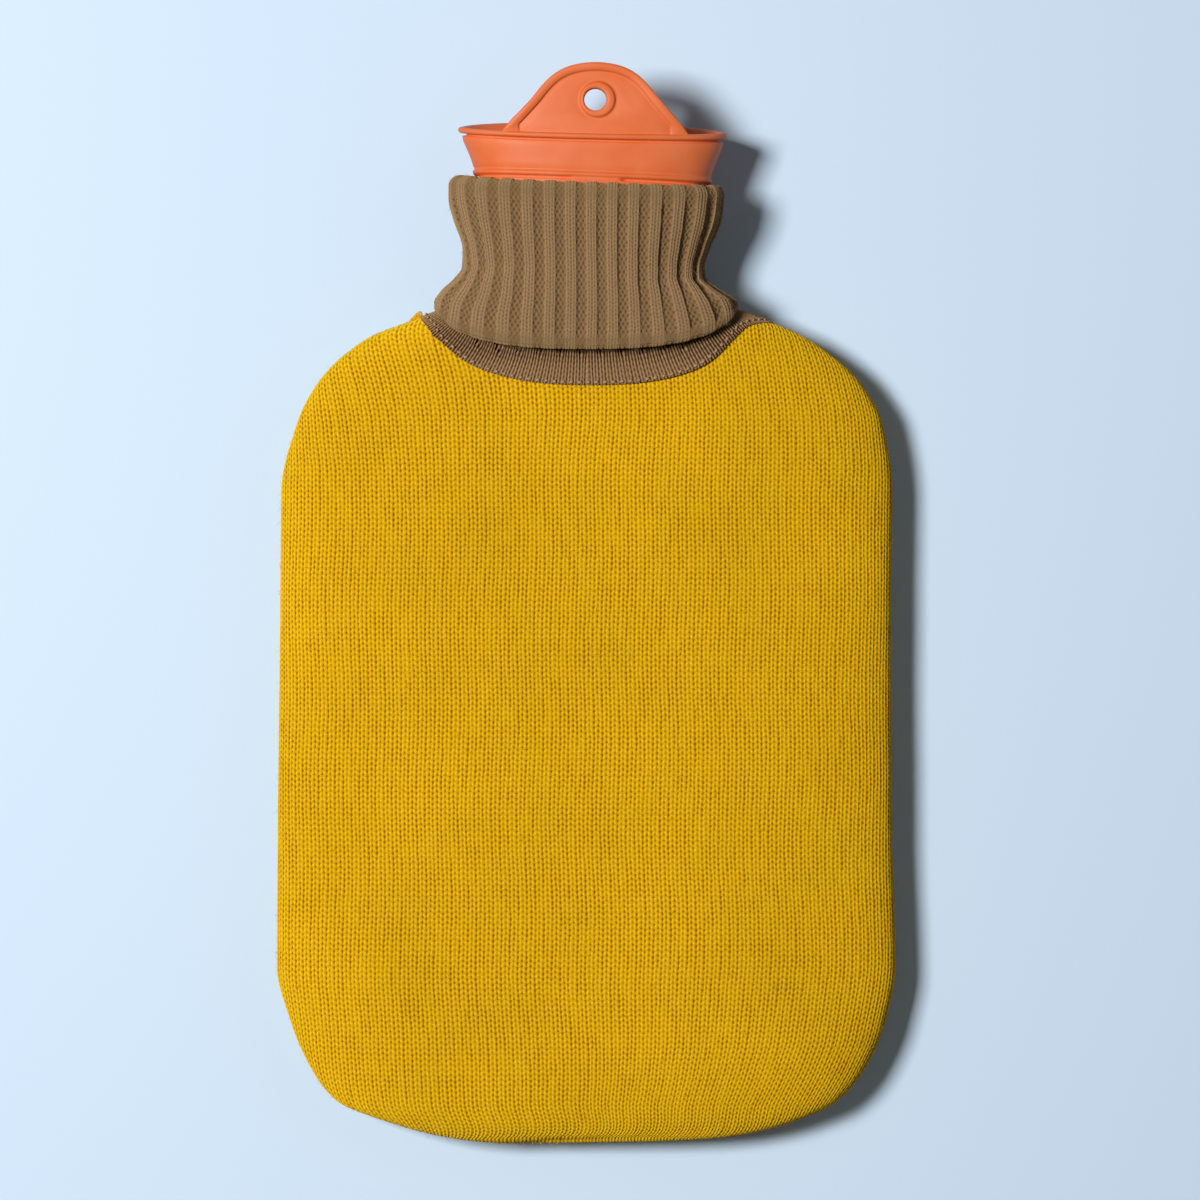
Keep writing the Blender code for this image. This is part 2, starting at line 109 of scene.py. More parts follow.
def skin(y, angle, inset=0.0):
    """Points of the cover's skin. Angle 0 is the right edge and a quarter turn is the front."""
    y, angle = np.broadcast_arrays(np.asarray(y, float), angle)
    left, right = read_rows(OUTLINE, y)
    seam, front, back, side_power, front_power, back_power = read_rows(BODY_SECTION, y)
    to_foot = np.maximum(0, (FOOT_Y + FOOT_ROUND - y) / FOOT_ROUND)
    plump = np.sqrt(np.maximum(0, 1 - to_foot**4))
    x = (left + right) / 2 + ((right - left) / 2 - inset) * bend(np.cos(angle), side_power)
    rise = np.abs(np.sin(angle))
    over = seam + (front - seam - inset) * plump * rise**front_power
    under = np.maximum(inset, seam - (seam - back - inset) * plump * rise**back_power)
    z = np.where(np.sin(angle) >= 0, over, under)
    return np.stack([x, y + inset * to_foot, z], -1)


def front_of_skin(x, y):
    """The height of the skin's front over points of the table, and below everything elsewhere."""
    left, right = read_rows(OUTLINE, y)
    seam, front, _, side_power, front_power, _ = read_rows(BODY_SECTION, y)
    across = np.abs(x - (left + right) / 2) / ((right - left) / 2)
    cosine = np.minimum(1, across) ** (1 / side_power)
    height = seam + (front - seam) * np.sqrt(1 - cosine**2) ** front_power
    return np.where((y > NECK_Y) | (across >= 1), -1.0, height)


def neckline_y(angle):
    lowest = np.where(np.sin(angle) >= 0, NECKLINE_FRONT_Y, NECKLINE_BACK_Y)
    across = np.abs(np.cos(angle)) ** NECKLINE_SPREAD
    climb = 1 - (1 - np.minimum(1, across**2)) ** NECKLINE_POWER
    side = NECKLINE_LEFT_Y + (NECKLINE_RIGHT_Y - NECKLINE_LEFT_Y) * (1 + np.cos(angle)) / 2
    from_left = np.arccos(-np.cos(angle))
    peak = NECKLINE_PEAK * np.exp(-((from_left / NECKLINE_PEAK_OVER) ** 2))
    return lowest + (side - lowest) * climb + peak


print("The skin's widest section in mm:", np.round(skin(-118, np.array([0, math.pi])), 1).tolist())

# %% [markdown]
# All the knitting is made as grids whose columns are a quarter of a wale apart and whose
# rows are half a course apart. A wale is a column of stitches and a course is a row of them.
# So each stitch has just enough points for its two legs and the gaps beside them. One
# function turns such a grid into a mesh. It welds points that fall together, which closes a
# round grid and lets a panel's outline cut across its columns. It keeps the wale and course
# of each point as attributes for the relief, and of each corner as a UV map for the finish.

# %% From a grid of points to a mesh
WELD = 1e-4


def new_object(name, data):
    """A new object at the origin, in the scene."""
    obj = bpy.data.objects.new(name, data)
    bpy.context.scene.collection.objects.link(obj)
    return obj


def grid_mesh(name, points, wale=None, course=None, amount=1.0):
    """A mesh object from a grid of points, welded where they coincide.

    Its faces point outward where rows run towards the neck and columns run round from the
    right over the front to the left.
    """
    rows, columns = points.shape[:2]
    flat = points.reshape(-1, 3)
    _, first, merged = np.unique(
        np.round(flat / WELD).astype(np.int64), axis=0, return_index=True, return_inverse=True
    )
    merged = merged.reshape(-1)
    at = np.arange(rows * columns).reshape(rows, columns)
    corners = np.stack([at[:-1, :-1], at[1:, :-1], at[1:, 1:], at[:-1, 1:]], -1).reshape(-1, 4)
    joined = merged[corners]
    keep = joined != np.roll(joined, 1, axis=1)
    faces, used = [], []
    for old, new, distinct in zip(corners.tolist(), joined.tolist(), keep.tolist()):
        if all(distinct):
            faces.append(new)
            used.extend(old)
        elif sum(distinct) == 3:
            faces.append([n for n, d in zip(new, distinct) if d])
            used.extend(o for o, d in zip(old, distinct) if d)
    data = bpy.data.meshes.new(name)
    data.from_pydata((flat[first] * MM).tolist(), [], faces)
    if wale is not None:
        wale, course, amount = (
            np.broadcast_to(v, (rows, columns)).reshape(-1) for v in (wale, course, amount)
        )
        for layer, values in (("wale", wale), ("course", course), ("amount", amount)):
            data.attributes.new(layer, "FLOAT", "POINT").data.foreach_set("value", values[first])
        pairs = np.stack([wale[used], course[used]], -1).reshape(-1)
        data.uv_layers.new(name="knit").data.foreach_set("uv", pairs)
    data.shade_smooth()
    return new_object(name, data)


def spread(values, spacing):
    """Positions at an even spacing along points, as fractions of their index."""
    run = np.concatenate([[0], np.cumsum(np.linalg.norm(np.diff(values, axis=0), axis=1))])
    count = max(2, int(round(run[-1] / spacing)))
    return np.interp(np.linspace(0, run[-1], count + 1), run, np.arange(len(run)))


# %% [markdown]
# A finish and a relief are both trees of nodes. One small function adds a node, sets its
# properties and fills its inputs with values or links. Patterns take their size in mm.

# %% Adding a node, a new finish, and colours from hex values


def fill(node, inputs):
    """Gives a node's inputs their values or links."""
    for key, value in inputs.items():
        if isinstance(value, bpy.types.NodeSocket):
            node.id_data.links.new(value, node.inputs[key])
        else:
            node.inputs[key].default_value = value


def add(tree, kind, inputs=None, **settings):
    """Adds a node and returns its outputs."""
    made = tree.nodes.new(kind)
    for name, value in settings.items():
        setattr(made, name, value)
    fill(made, inputs or {})
    return made.outputs


def new_finish(name):
    """A new material, its tree and its shader."""
    finish = bpy.data.materials.new(name)
    finish.use_nodes = True
    return finish, finish.node_tree, finish.node_tree.nodes["Principled BSDF"]


def grains(tree, *patterns):
    """Noise over the piece, one for each grain size in mm and its detail."""
    place = add(tree, "ShaderNodeTexCoord")["Object"]
    return [
        add(tree, "ShaderNodeTexNoise", {"Vector": place, "Scale": 1 / (mm * MM), "Detail": detail})[0]
        for mm, detail in patterns
    ]


def colour(hex_value):
    """An sRGB hex value as a linear colour."""
    parts = [int(hex_value[i : i + 2], 16) / 255 for i in (1, 3, 5)]
    return (*(p / 12.92 if p <= 0.04045 else ((p + 0.055) / 1.055) ** 2.4 for p in parts), 1.0)


print("Mustard in linear light:", [round(v, 3) for v in colour("#C09303")])

# %% [markdown]
# What is a knitted stitch? In stockinette each stitch shows two slanted legs that make a V,
# with a small dark gap at its foot and another between its tips. The gaps of neighbouring
# columns are half a stitch apart. The other side of the fabric, the purl side, shows small
# bumps that are staggered in the same way. One formula gives the height of both, from the
# wale and the course. It is built once in the tree that moves the points and once in each
# finish, so the relief and the colours always agree.

# %% The height of a stitch, as nodes
STRAND_POWER = 0.7
INSIDE_V = 0.12  # how far the middle of a V stands above the gap between two wales
FLANK = 3.0  # how steeply a rib falls to the purl groove beside it


def formula(tree, made, steps):
    """Adds maths nodes by a table: a name, an operation, and values or the names of earlier ones."""
    for name, operation, *values in steps:
        inputs = {i: made.get(v, v) for i, v in enumerate(values)}
        made[name] = add(tree, "ShaderNodeMath", inputs, operation=operation, label=name)[0]
    return made


def stitch_height(tree, wale, course, leg_share, ribbed):
    """Adds the formula, and returns the height from 0 to 1 and how far the place is in a groove.

    leg_share is how much of the height is in the two legs, and the rest is in the strands.
    """
    turn = 2 * math.pi
    made = {"wale": wale, "course": course, "leg share": leg_share, "ribbed": ribbed}
    formula(tree, made, (
        ("u", "MULTIPLY", "wale", turn),
        ("v", "MULTIPLY", "course", math.pi),
        ("leg sine", "SINE", "u"),
        ("two legs", "MULTIPLY", "leg sine", "leg sine"),
        ("half u", "MULTIPLY", "wale", math.pi),
        ("wale sine", "SINE", "half u"),
        ("one wale", "MULTIPLY", "wale sine", "wale sine"),
        ("inside", "MULTIPLY", "one wale", INSIDE_V),
        ("legs", "MULTIPLY_ADD", "two legs", 1 - INSIDE_V / 2, "inside"),
        ("from centre", "PINGPONG", "wale", 0.5),
        ("strand", "SUBTRACT", "course", "from centre"),
        ("strand turn", "MULTIPLY", "strand", math.pi),
        ("strand sine", "SINE", "strand turn"),
        ("strand size", "ABSOLUTE", "strand sine"),
        ("strand top", "POWER", "strand size", 2 * STRAND_POWER),
        ("leg part", "MULTIPLY", "legs", "leg share"),
        ("strand share", "SUBTRACT", 1.0, "leg share"),
        ("plain", "MULTIPLY_ADD", "strand top", "strand share", "leg part"),
        ("u cosine", "COSINE", "u"),
        ("v cosine", "COSINE", "v"),
        ("stagger", "MULTIPLY", "u cosine", "v cosine"),
        ("purl", "MULTIPLY_ADD", "stagger", 0.5, 0.5),
        ("rib turn", "MULTIPLY", "wale", turn / 4),
        ("rib sine", "SINE", "rib turn"),
        ("flank", "MULTIPLY_ADD", "rib sine", -FLANK, 0.5),
    ))
    made["inside rib"] = add(tree, "ShaderNodeClamp", {"Value": made["flank"]})[0]
    groove = formula(tree, made, [("groove", "MULTIPLY", "inside rib", "ribbed")])["groove"]
    height = add(
        tree, "ShaderNodeMix", {0: groove, 2: made["plain"], 3: made["purl"]}, data_type="FLOAT"
    )[0]
    return height, groove


# %% [markdown]
# The relief itself is a Geometry Nodes tree, because it follows a rule all over the surface.
# A sculpted or an image-driven displacement would do it too, but neither would line up with
# the mesh. The tree only lowers points below the skin, so the piece stays inside its size.

# %% A Geometry Nodes tree that knits a surface


def make_tree(name, inputs):
    """A new Geometry Nodes tree with named inputs, and its group input and output nodes."""
    tree = bpy.data.node_groups.new(name, "GeometryNodeTree")
    tree.interface.new_socket("Geometry", in_out="INPUT", socket_type="NodeSocketGeometry")
    tree.interface.new_socket("Geometry", in_out="OUTPUT", socket_type="NodeSocketGeometry")
    for label, kind in inputs:
        tree.interface.new_socket(label, in_out="INPUT", socket_type="NodeSocket" + kind)
    return tree, add(tree, "NodeGroupInput")


def finish_tree(tree, geometry, finish):
    """Ends a tree in Realize Instances and Set Material, and returns it."""
    real = add(tree, "GeometryNodeRealizeInstances", {"Geometry": geometry})[0]
    done = add(tree, "GeometryNodeSetMaterial", {"Geometry": real, "Material": finish})[0]
    add(tree, "NodeGroupOutput", {"Geometry": done})
    return tree


def run_tree(obj, tree, **values):
    """Runs a tree on an object and leaves its result as a plain mesh."""
    modifier = obj.modifiers.new(tree.name, "NODES")
    modifier.node_group = tree
    for item in tree.interface.items_tree:
        if item.in_out == "INPUT" and item.name in values:
            modifier[item.identifier] = values[item.name]
    evaluated = obj.evaluated_get(bpy.context.evaluated_depsgraph_get())
    result = bpy.data.meshes.new_from_object(evaluated)
    obj.modifiers.remove(modifier)
    obj.data = result
    result.name = obj.name


tree, given = make_tree("knitted relief", (
    ("Relief", "Float"), ("Leg_share", "Float"), ("Rib_depth", "Float"), ("Ribbed", "Float"),
    ("Finish", "Material"),
))
wale, course, amount = (
    add(tree, "GeometryNodeInputNamedAttribute", {"Name": name}, data_type="FLOAT")[0]
    for name in ("wale", "course", "amount")
)
height, groove = stitch_height(tree, wale, course, given["Leg_share"], given["Ribbed"])
shown = formula(tree, {"height": height, "groove": groove, "amount": amount}, (
    ("below", "SUBTRACT", "height", 1.0),
    ("sunk", "MULTIPLY", "below", given["Relief"]),
    ("rib", "MULTIPLY", "groove", given["Rib_depth"]),
    ("both", "SUBTRACT", "sunk", "rib"),
    ("shown", "MULTIPLY", "both", "amount"),
))["shown"]
normal = add(tree, "GeometryNodeInputNormal")[0]
offset = add(tree, "ShaderNodeVectorMath", {0: normal, "Scale": shown}, operation="SCALE")[0]
moved = add(tree, "GeometryNodeSetPosition", {"Geometry": given["Geometry"], "Offset": offset})[0]
knit_tree = finish_tree(tree, moved, given["Finish"])
print("The knitting tree has", len(knit_tree.nodes), "nodes")

# %% [markdown]
# Both yarns are spun acrylic or wool: soft, matt, with short loose fibres that catch the
# light at a glancing angle. That gives the eye a dark gap between stitches, a bright leg,
# small differences from stitch to stitch and a faint sheen. The finish paints the shade of
# the gaps and the highlight of the crests into the colour, by the relief's depth, on top of
# the relief's own shading. The bump's distance is the relief's real depth. Fibres are far
# too fine to draw, so a noise of 0.35 mm stands for them.

# %% Knitted yarn
FIBRE_MM, BLOTCH_MM = 0.35, 38.0
# The three colours go from painted shade in the gaps, over the leg, to a painted highlight on the
# crests.
RAMP_LOW, RAMP_MIDDLE, RAMP_HIGH = 0.06, 0.36, 0.97  # the heights of the three colours


def knitted_yarn(name, gap, leg, crest, relief, leg_share, flat, ribbed=0.0, purl=None):
    """Spun yarn, knitted: from painted shade in its gaps up to a painted highlight on its crests.

    flat is how bright a place without relief is painted, such as a hem: the colour is darkened
    there as painted shade, where the knitting turns under, and legs that stand higher are
    painted a little lighter, as lit. The colour follows the relief's real depth, so where the
    mesh is smooth the colour is even too.
    """
    finish, tree, shader = new_finish(name)
    across, along, _ = add(
        tree, "ShaderNodeSeparateXYZ", {0: add(tree, "ShaderNodeUVMap", uv_map="knit")[0]}
    )
    height, groove = stitch_height(tree, across, along, leg_share, ribbed)
    fibres, blotches = grains(tree, (FIBRE_MM, 3.0), (BLOTCH_MM, 2.0))
    stand = add(tree, "ShaderNodeAttribute", attribute_name="amount")["Fac"]
    level = formula(tree, {"height": height, "amount": stand}, (
        ("low", "SUBTRACT", 1.0, "height"),
        ("depth", "MULTIPLY", "low", "amount"),
        ("level", "SUBTRACT", 1.0, "depth"),
    ))["level"]
    # The ramp paints shade into the gaps between stitches and a highlight onto their crests, by how deep
    # the relief is there.
    shade = add(tree, "ShaderNodeValToRGB", {"Fac": level})[0]
    stops = shade.node.color_ramp.elements
    stops[0].position, stops[0].color = RAMP_LOW, colour(gap)
    stops[1].position, stops[1].color = RAMP_HIGH, colour(crest)
    stops.new(RAMP_MIDDLE).color = colour(leg)
    # In a rib the purl colour darkens the recessed groove: painted shade.
    if purl:
        shade = add(
            tree, "ShaderNodeMix", {0: groove, 6: shade, 7: colour(purl)}, data_type="RGBA",
            blend_type="MULTIPLY",
        )[2]
    # The last of these paints places with little relief darker, as shade on a turned hem or fold, and
    # legs that stand higher a little lighter, as lit.
    for value, low, high, dark, bright in (
        (fibres, 0.3, 0.7, 0.82, 1.18), (blotches, 0.3, 0.7, 0.96, 1.04), (stand, 0.3, 1.2, flat, 1.05)
    ):
        change = add(tree, "ShaderNodeMapRange", {0: value, 1: low, 2: high, 3: dark, 4: bright})[0]
        shade = add(tree, "ShaderNodeVectorMath", {0: shade, "Scale": change}, operation="SCALE")[0]
    stitches = add(tree, "ShaderNodeBump", {"Height": height, "Distance": relief * MM})[0]
    fuzz = add(
        tree, "ShaderNodeBump",
        {"Height": fibres, "Distance": 0.12 * MM, "Strength": 0.6, "Normal": stitches},
    )[0]
    fill(shader, {
        "Base Color": shade, "Normal": fuzz, "Roughness": 0.9, "Diffuse Roughness": 0.8,
        "Specular IOR Level": 0.08, "Sheen Weight": 0.3, "Sheen Roughness": 0.5,
        "Sheen Tint": colour(crest),
    })
    return finish


# Each yarn's first colour is painted shade for its gaps and its third a painted highlight for its
# crests.
mustard_knit = knitted_yarn(
    "mustard_stockinette_yarn", "#8E5600", "#C09303", "#DBB214", 0.4, 0.64, 1.0
)
brown_knit = knitted_yarn("brown_stockinette_yarn", "#443020", "#7C5C3C", "#A4825C", 0.5, 0.8, 0.9)
# The purl colour of the ribbing is painted shade in its grooves.
brown_rib = knitted_yarn(
    "brown_ribbed_yarn", "#6A5238", "#8A6C4D", "#9C7E57", 0.3, 0.7, 0.72, ribbed=1.0, purl="#E6E2DA"
)
print("Yarn finishes:", [m.name for m in (mustard_knit, brown_knit, brown_rib)])

# %% [markdown]
# The front and back panels are flat pieces of stockinette, so their wales run straight from
# the foot to the neck and stop where the side seam cuts them. A grid in angle, as on a
# balloon, would pinch all of them into the corners. So the columns here are laid out by
# their distance from the middle, measured over the skin, and are held at the seam. The
# panel's top runs on a little under the neck band, as its seam allowance does.

# %% The two panels
WALE, COURSE = 2.72, 1.76  # mm between columns and rows of stitches
NARROWING = (  # y, how wide the wales are on the left and on the right: the cover is twisted
    (-176.0, 0.915, 0.765), (-165.0, 0.96, 0.83), (-150.0, 0.993, 0.915), (-141.0, 0.998, 0.955),
    (-115.0, 1.0, 1.0), (40.0, 1.0, 1.0), (55.0, 1.025, 0.985), (68.0, 1.065, 0.97),
    (79.0, 1.12, 0.962), (98.5, 1.24, 0.95),
)
FOOT_MIDDLE_X = -0.3  # the middle wale keeps to the right of this, where the foot's tip lies aside
UNDER_BAND, TUCK = 3.0, 1.3
SEAM_DIP, SEAM_WIDE, SEAM_FLAT = 0.4, 2.2, 3.0
EDGE_TURN = 2.0  # how far the panel's edge turns in
ROUND_PART = 8.0  # of the foot's height, where its rows lie closer together
SEAM_GAP, WANDER = 0.15, 0.3
PANEL_RELIEF, PANEL_LEGS = 0.42, 0.64
UNEVEN_SEED, UNEVEN_COURSES = 4, 2.5


def from_foot(top, at_foot, above, power):
    """Heights from the foot to the top, closer together where the foot is round."""
    foot = FOOT_Y + ROUND_PART * np.linspace(0, 1, at_foot) ** power
    return np.concatenate([foot, np.linspace(foot[-1], top, above)[1:]])


def softness(points):
    """How far the filled cover is pressed in here, so that it isn't as even as a casting."""
    x, y = points[..., 0], points[..., 1]
    waves = np.sin(x / 23 + 1.3) * np.sin(y / 31 + 0.4) + np.sin(x / 41 - y / 37 + 2.1)
    return 0.28 * (waves + 0.5 * np.sin(x / 11 + y / 17))


def uneven(across, along, low, high, seed):
    """A number for each point that differs from leg to leg and changes slowly along it.

    Hand-fed yarn is never pulled quite evenly, so some legs stand higher than their neighbours.
    """
    leg = np.floor(across * 2 + 0.01).astype(int)
    leg -= leg.min()
    row = (along - along.min()) / UNEVEN_COURSES
    knots = np.random.default_rng(seed).uniform(low, high, (int(row.max()) + 2, leg.max() + 1))
    below = np.floor(row).astype(int)
    share = (1 - np.cos(math.pi * (row - below))) / 2
    return knots[below, leg] * (1 - share) + knots[below + 1, leg] * share


def panel_grid(side):
    """Points, wales, courses and relief of one panel: side is 1 for the front, -1 for the back."""
    even_x = np.linspace(-1, 1, 401)
    angles = np.arccos(np.sign(even_x) * even_x**2)
    angles = side * np.unique(np.concatenate([angles, np.linspace(0, math.pi, 401)]).round(9))
    middle_y = from_foot(NECK_Y, 300, 900, 4)
    middle = skin(middle_y, side * math.pi / 2)
    rows = spread(middle, COURSE / 2)
    y_rows = np.interp(rows, np.arange(len(middle_y)), middle_y)
    sections = skin(y_rows[:, None], angles[None, :])
    steps = np.linalg.norm(np.diff(sections, axis=1), axis=2)
    run = np.concatenate([np.zeros((len(y_rows), 1)), np.cumsum(steps, axis=1)], axis=1)
    middle_at = np.argmin(np.abs(np.abs(angles) - math.pi / 2))
    in_middle = run[:, middle_at] + np.minimum(0, sections[:, middle_at, 0] - FOOT_MIDDLE_X)
    run = in_middle[:, None] - run  # from the middle, growing to the right
    on_left, on_right = read_rows(NARROWING, y_rows)
    widest = max(np.max(-run / on_left[:, None]), np.max(run / on_right[:, None]))
    count = int(np.ceil(widest / WALE * 4)) + 1
    columns = np.arange(-count, count + 1) / 4
    narrow = np.where(columns < 0, on_left[:, None], on_right[:, None])

    def angle_at(row, reach):
        """The angle where a section between two rows has run this far from the middle."""
        low = int(np.clip(np.floor(row), 0, len(y_rows) - 2))
        below, above = (np.interp(reach, run[i][::-1], angles[::-1]) for i in (low, low + 1))
        return below + (above - below) * (row - low)

    grid_rows = np.repeat(np.arange(len(y_rows))[:, None], len(columns), axis=1).astype(float)
    reach = columns * WALE * narrow
    angle = np.stack([np.interp(r, s[::-1], angles[::-1]) for r, s in zip(reach, run)])
    over = y_rows[:, None] - (neckline_y(angle) + UNDER_BAND)
    for j in range(len(columns)):
        beyond = np.nonzero(over[:, j] > 0)[0]
        if len(beyond):
            k = beyond[0]
            cut = k - 1 + over[k - 1, j] / (over[k - 1, j] - over[k, j])
            grid_rows[:, j] = np.minimum(grid_rows[:, j], cut)
            reach_cut = columns[j] * WALE * np.interp(cut, np.arange(len(narrow)), narrow[:, j])
            angle[k:, j] = angle_at(cut, reach_cut)
    y = np.interp(grid_rows, np.arange(len(y_rows)), y_rows)
    flat_points = skin(y, angle)
    tuck = np.clip((y - neckline_y(angle) + 0.4) / 1.2, 0, 1) * TUCK
    near_seam = np.linalg.norm(flat_points - skin(y, np.where(np.cos(angle) > 0, 0, math.pi)), axis=2)
    dip = SEAM_DIP * np.exp(-((near_seam / SEAM_WIDE) ** 2))
    soft = softness(flat_points)
    calm = np.clip(near_seam / 25, 0, 1) * np.clip((flat_points[..., 2] - 2) / 8, 0, 1)
    inset = tuck + dip + (soft - soft.min()) * calm
    points = skin(y, angle, inset)
    points[..., 2] += SEAM_GAP * side * np.exp(-((near_seam / SEAM_WIDE) ** 2))
    wander = WANDER * np.sin(points[..., 1] / 9 + points[..., 0] / 60)
    points[..., 0] += wander * np.clip(near_seam / 15, 0, 1)
    smooth_edge = 0.35 + 0.65 * np.clip(near_seam / SEAM_FLAT, 0, 1)
    along = np.interp(grid_rows, np.arange(len(y_rows)), np.arange(len(y_rows)) / 2)
    across = np.clip(reach, run.min(axis=1)[:, None], run.max(axis=1)[:, None]) / narrow / WALE
    amount = smooth_edge * uneven(across, along, 0.88, 1.2, UNEVEN_SEED)
    shift = uneven(across, along, -0.05, 0.05, UNEVEN_SEED + 1)
    return points, across + shift, along, amount


def turn_edges(obj, depth):
    """Turns a sheet's open edges in, so that it has the thickness of the knitting there."""
    mesh = bmesh.new()
    mesh.from_mesh(obj.data)
    mesh.normal_update()
    edges = [e for e in mesh.edges if e.is_boundary]
    normals = {v.index: v.normal.copy() for e in edges for v in e.verts}
    old = len(mesh.faces)
    made = bmesh.ops.extrude_edge_only(mesh, edges=edges)["geom"]
    new = [g for g in made if isinstance(g, bmesh.types.BMVert)]
    for v in new:
        near = min(
            (e.other_vert(v) for e in v.link_edges if e.other_vert(v).index in normals),
            key=lambda other: (other.co - v.co).length,
        )
        v.co = v.co - normals[near.index] * depth * MM
    mesh.verts.index_update()
    mesh.faces.index_update()

    def place(face):
        """The new faces come in no fixed order, so they are put in that of their edges."""
        low, high = sorted(v.index for v in face.verts)[:2]
        return face.index if face.index < old else old + low * len(mesh.verts) + high

    mesh.faces.sort(key=place)
    mesh.to_mesh(obj.data)
    mesh.free()


panels = {}
for name, side in (("body_front", 1), ("body_back", -1)):
    grids = panel_grid(side)
    if side > 0:
        grids = [grid[:, ::-1] for grid in grids]
    panel = grid_mesh(name + "_knit", *grids)
    run_tree(
        panel, knit_tree, Relief=PANEL_RELIEF * MM, Leg_share=PANEL_LEGS, Finish=mustard_knit
    )
    turn_edges(panel, EDGE_TURN)
    panels[name] = panel
    print(name, "has", len(panel.data.polygons), "faces")

# %% [markdown]
# The neck band is knitted on from the neckline, so its wales run up from there and lean
# towards the neck. It is one closed ring: the columns of each of its rings are spaced evenly
# from the middle of the front, and its rows go up to where the collar hides it. Where a
# groove of the collar ends, the hem stands off the band and a small pocket is left: the band
# dips there, and its finish paints the pocket dark as painted shade. All along under the hem
# the band's gaps are cut further in and painted darker, as shade under the hem.

# %% The neck band
BAND_WALES, BAND_COURSES = 124, 17
BAND_RELIEF, BAND_LIFT, BAND_LEGS = 0.55, 0.35, 0.8
HEM_DEPTH_AND_SHADE, DEEPER_OVER = 1.2, 4.0  # under the folded hem the band's gaps are cut further in, and painted darker as shade
POCKET_PITCH, POCKET_X, POCKET_OVER, POCKET_DIP, POCKET_DEPTH_AND_SHADE = 6.6, -1.2, 2.6, 2.0, 1.6
POCKET_START, POCKET_FADE = 3.5, 1.5  # above the neckline, clear of the panel under the band
HEM_SIDE_Y, HEM_FRONT_DROP, HEM_BACK_DROP = 97.2, 15.0, 6.0
AROUND = math.pi / 2 + np.linspace(-1.1, 1.1, 4401) * math.pi  # from back to back and a bit on
MIDDLE_X, FRONT_SINE, RIBS = 0.2, 0.5, 30


def ring_angles(ring, ways, pitch=None):
    """Angles at shares of the way round a ring, from -1 at the back over 0 at the front to 1.

    0 is at the same x on every ring, so that wales run straight there. A pitch in mm holds at
    the front and the back, for RIBS ribs, and lets the spacing widen at the sides.
    """
    line = ring(AROUND)
    run = np.concatenate([[0], np.cumsum(np.linalg.norm(np.diff(line, axis=0), axis=1))])
    back, again = np.interp((-math.pi / 2, math.pi * 3 / 2), AROUND, run)
    ahead = np.sin(AROUND) > FRONT_SINE
    front = np.interp(-MIDDLE_X, -line[ahead, 0], run[ahead])
    pitch_share = pitch * RIBS / (again - back) if pitch else 1
    ways = ways - (1 - pitch_share) * np.sin(2 * math.pi * ways) / (2 * math.pi)
    return np.interp(front + ways * np.where(ways > 0, again - front, front - back), run, AROUND)


def close_round(points):
    points[:, -1] = points[:, 0]
    return points


def hem_y(angle):
    """The height of the collar's hem, which hides the band above it."""
    drop = np.where(np.sin(angle) >= 0, HEM_FRONT_DROP, HEM_BACK_DROP)
    return HEM_SIDE_Y - drop * np.abs(np.sin(angle))


def band_ring(share, out=0.0):
    """The band's ring at this share of the way from the neckline to the collar."""

    def ring(angle):
        start = neckline_y(angle)
        return skin(start + (NECK_Y - start) * share, angle, -out)

    return ring


wales = np.arange(BAND_WALES * 4 + 1) / 4
ways = 2 * wales / BAND_WALES - 1
shares = np.linspace(0, 1, BAND_COURSES * 2 + 1)
rings, amounts = [], []
for share in shares:
    ring = band_ring(share, BAND_LIFT * math.exp(-((share / 0.12) ** 2)))
    angles = ring_angles(ring, ways)
    points = ring(angles)
    below_hem = hem_y(angles) - points[:, 1]
    between_ribs = np.cos((points[:, 0] - POCKET_X) / POCKET_PITCH * 2 * math.pi)
    pocket = np.maximum(0, between_ribs) ** 2 * np.exp(-((below_hem / POCKET_OVER) ** 2))
    pocket *= np.clip((points[:, 1] - neckline_y(angles) - POCKET_START) / POCKET_FADE, 0, 1)
    points[:, 2] -= POCKET_DIP * pocket * np.maximum(0, np.sin(angles))
    rings.append(points)
    hem_depth_and_shade = HEM_DEPTH_AND_SHADE * np.exp(-((below_hem / DEEPER_OVER) ** 2))
    # A bigger amount cuts the gaps further in and paints them darker too: painted shade under the hem
    # and in its pockets.
    amounts.append(1 + hem_depth_and_shade + POCKET_DEPTH_AND_SHADE * pocket)
courses = shares[:, None] * BAND_COURSES
band = grid_mesh(
    "neck_band_knit", close_round(np.stack(rings)), wales[None, :], courses, np.stack(amounts)
)
run_tree(band, knit_tree, Relief=BAND_RELIEF * MM, Leg_share=BAND_LEGS, Finish=brown_knit)
turn_edges(band, EDGE_TURN)
print("The band has", len(band.data.polygons), "faces")

# %% [markdown]
# The collar is a tube of 2 by 2 ribbing: two wales that stand up as a ridge, then two purl
# wales that sink into a groove. Its edge is folded down over its outside. Its section is one
# closed loop that goes from the hem up the outside, over the fold, down along the rubber
# neck, and back up and down between the two layers.

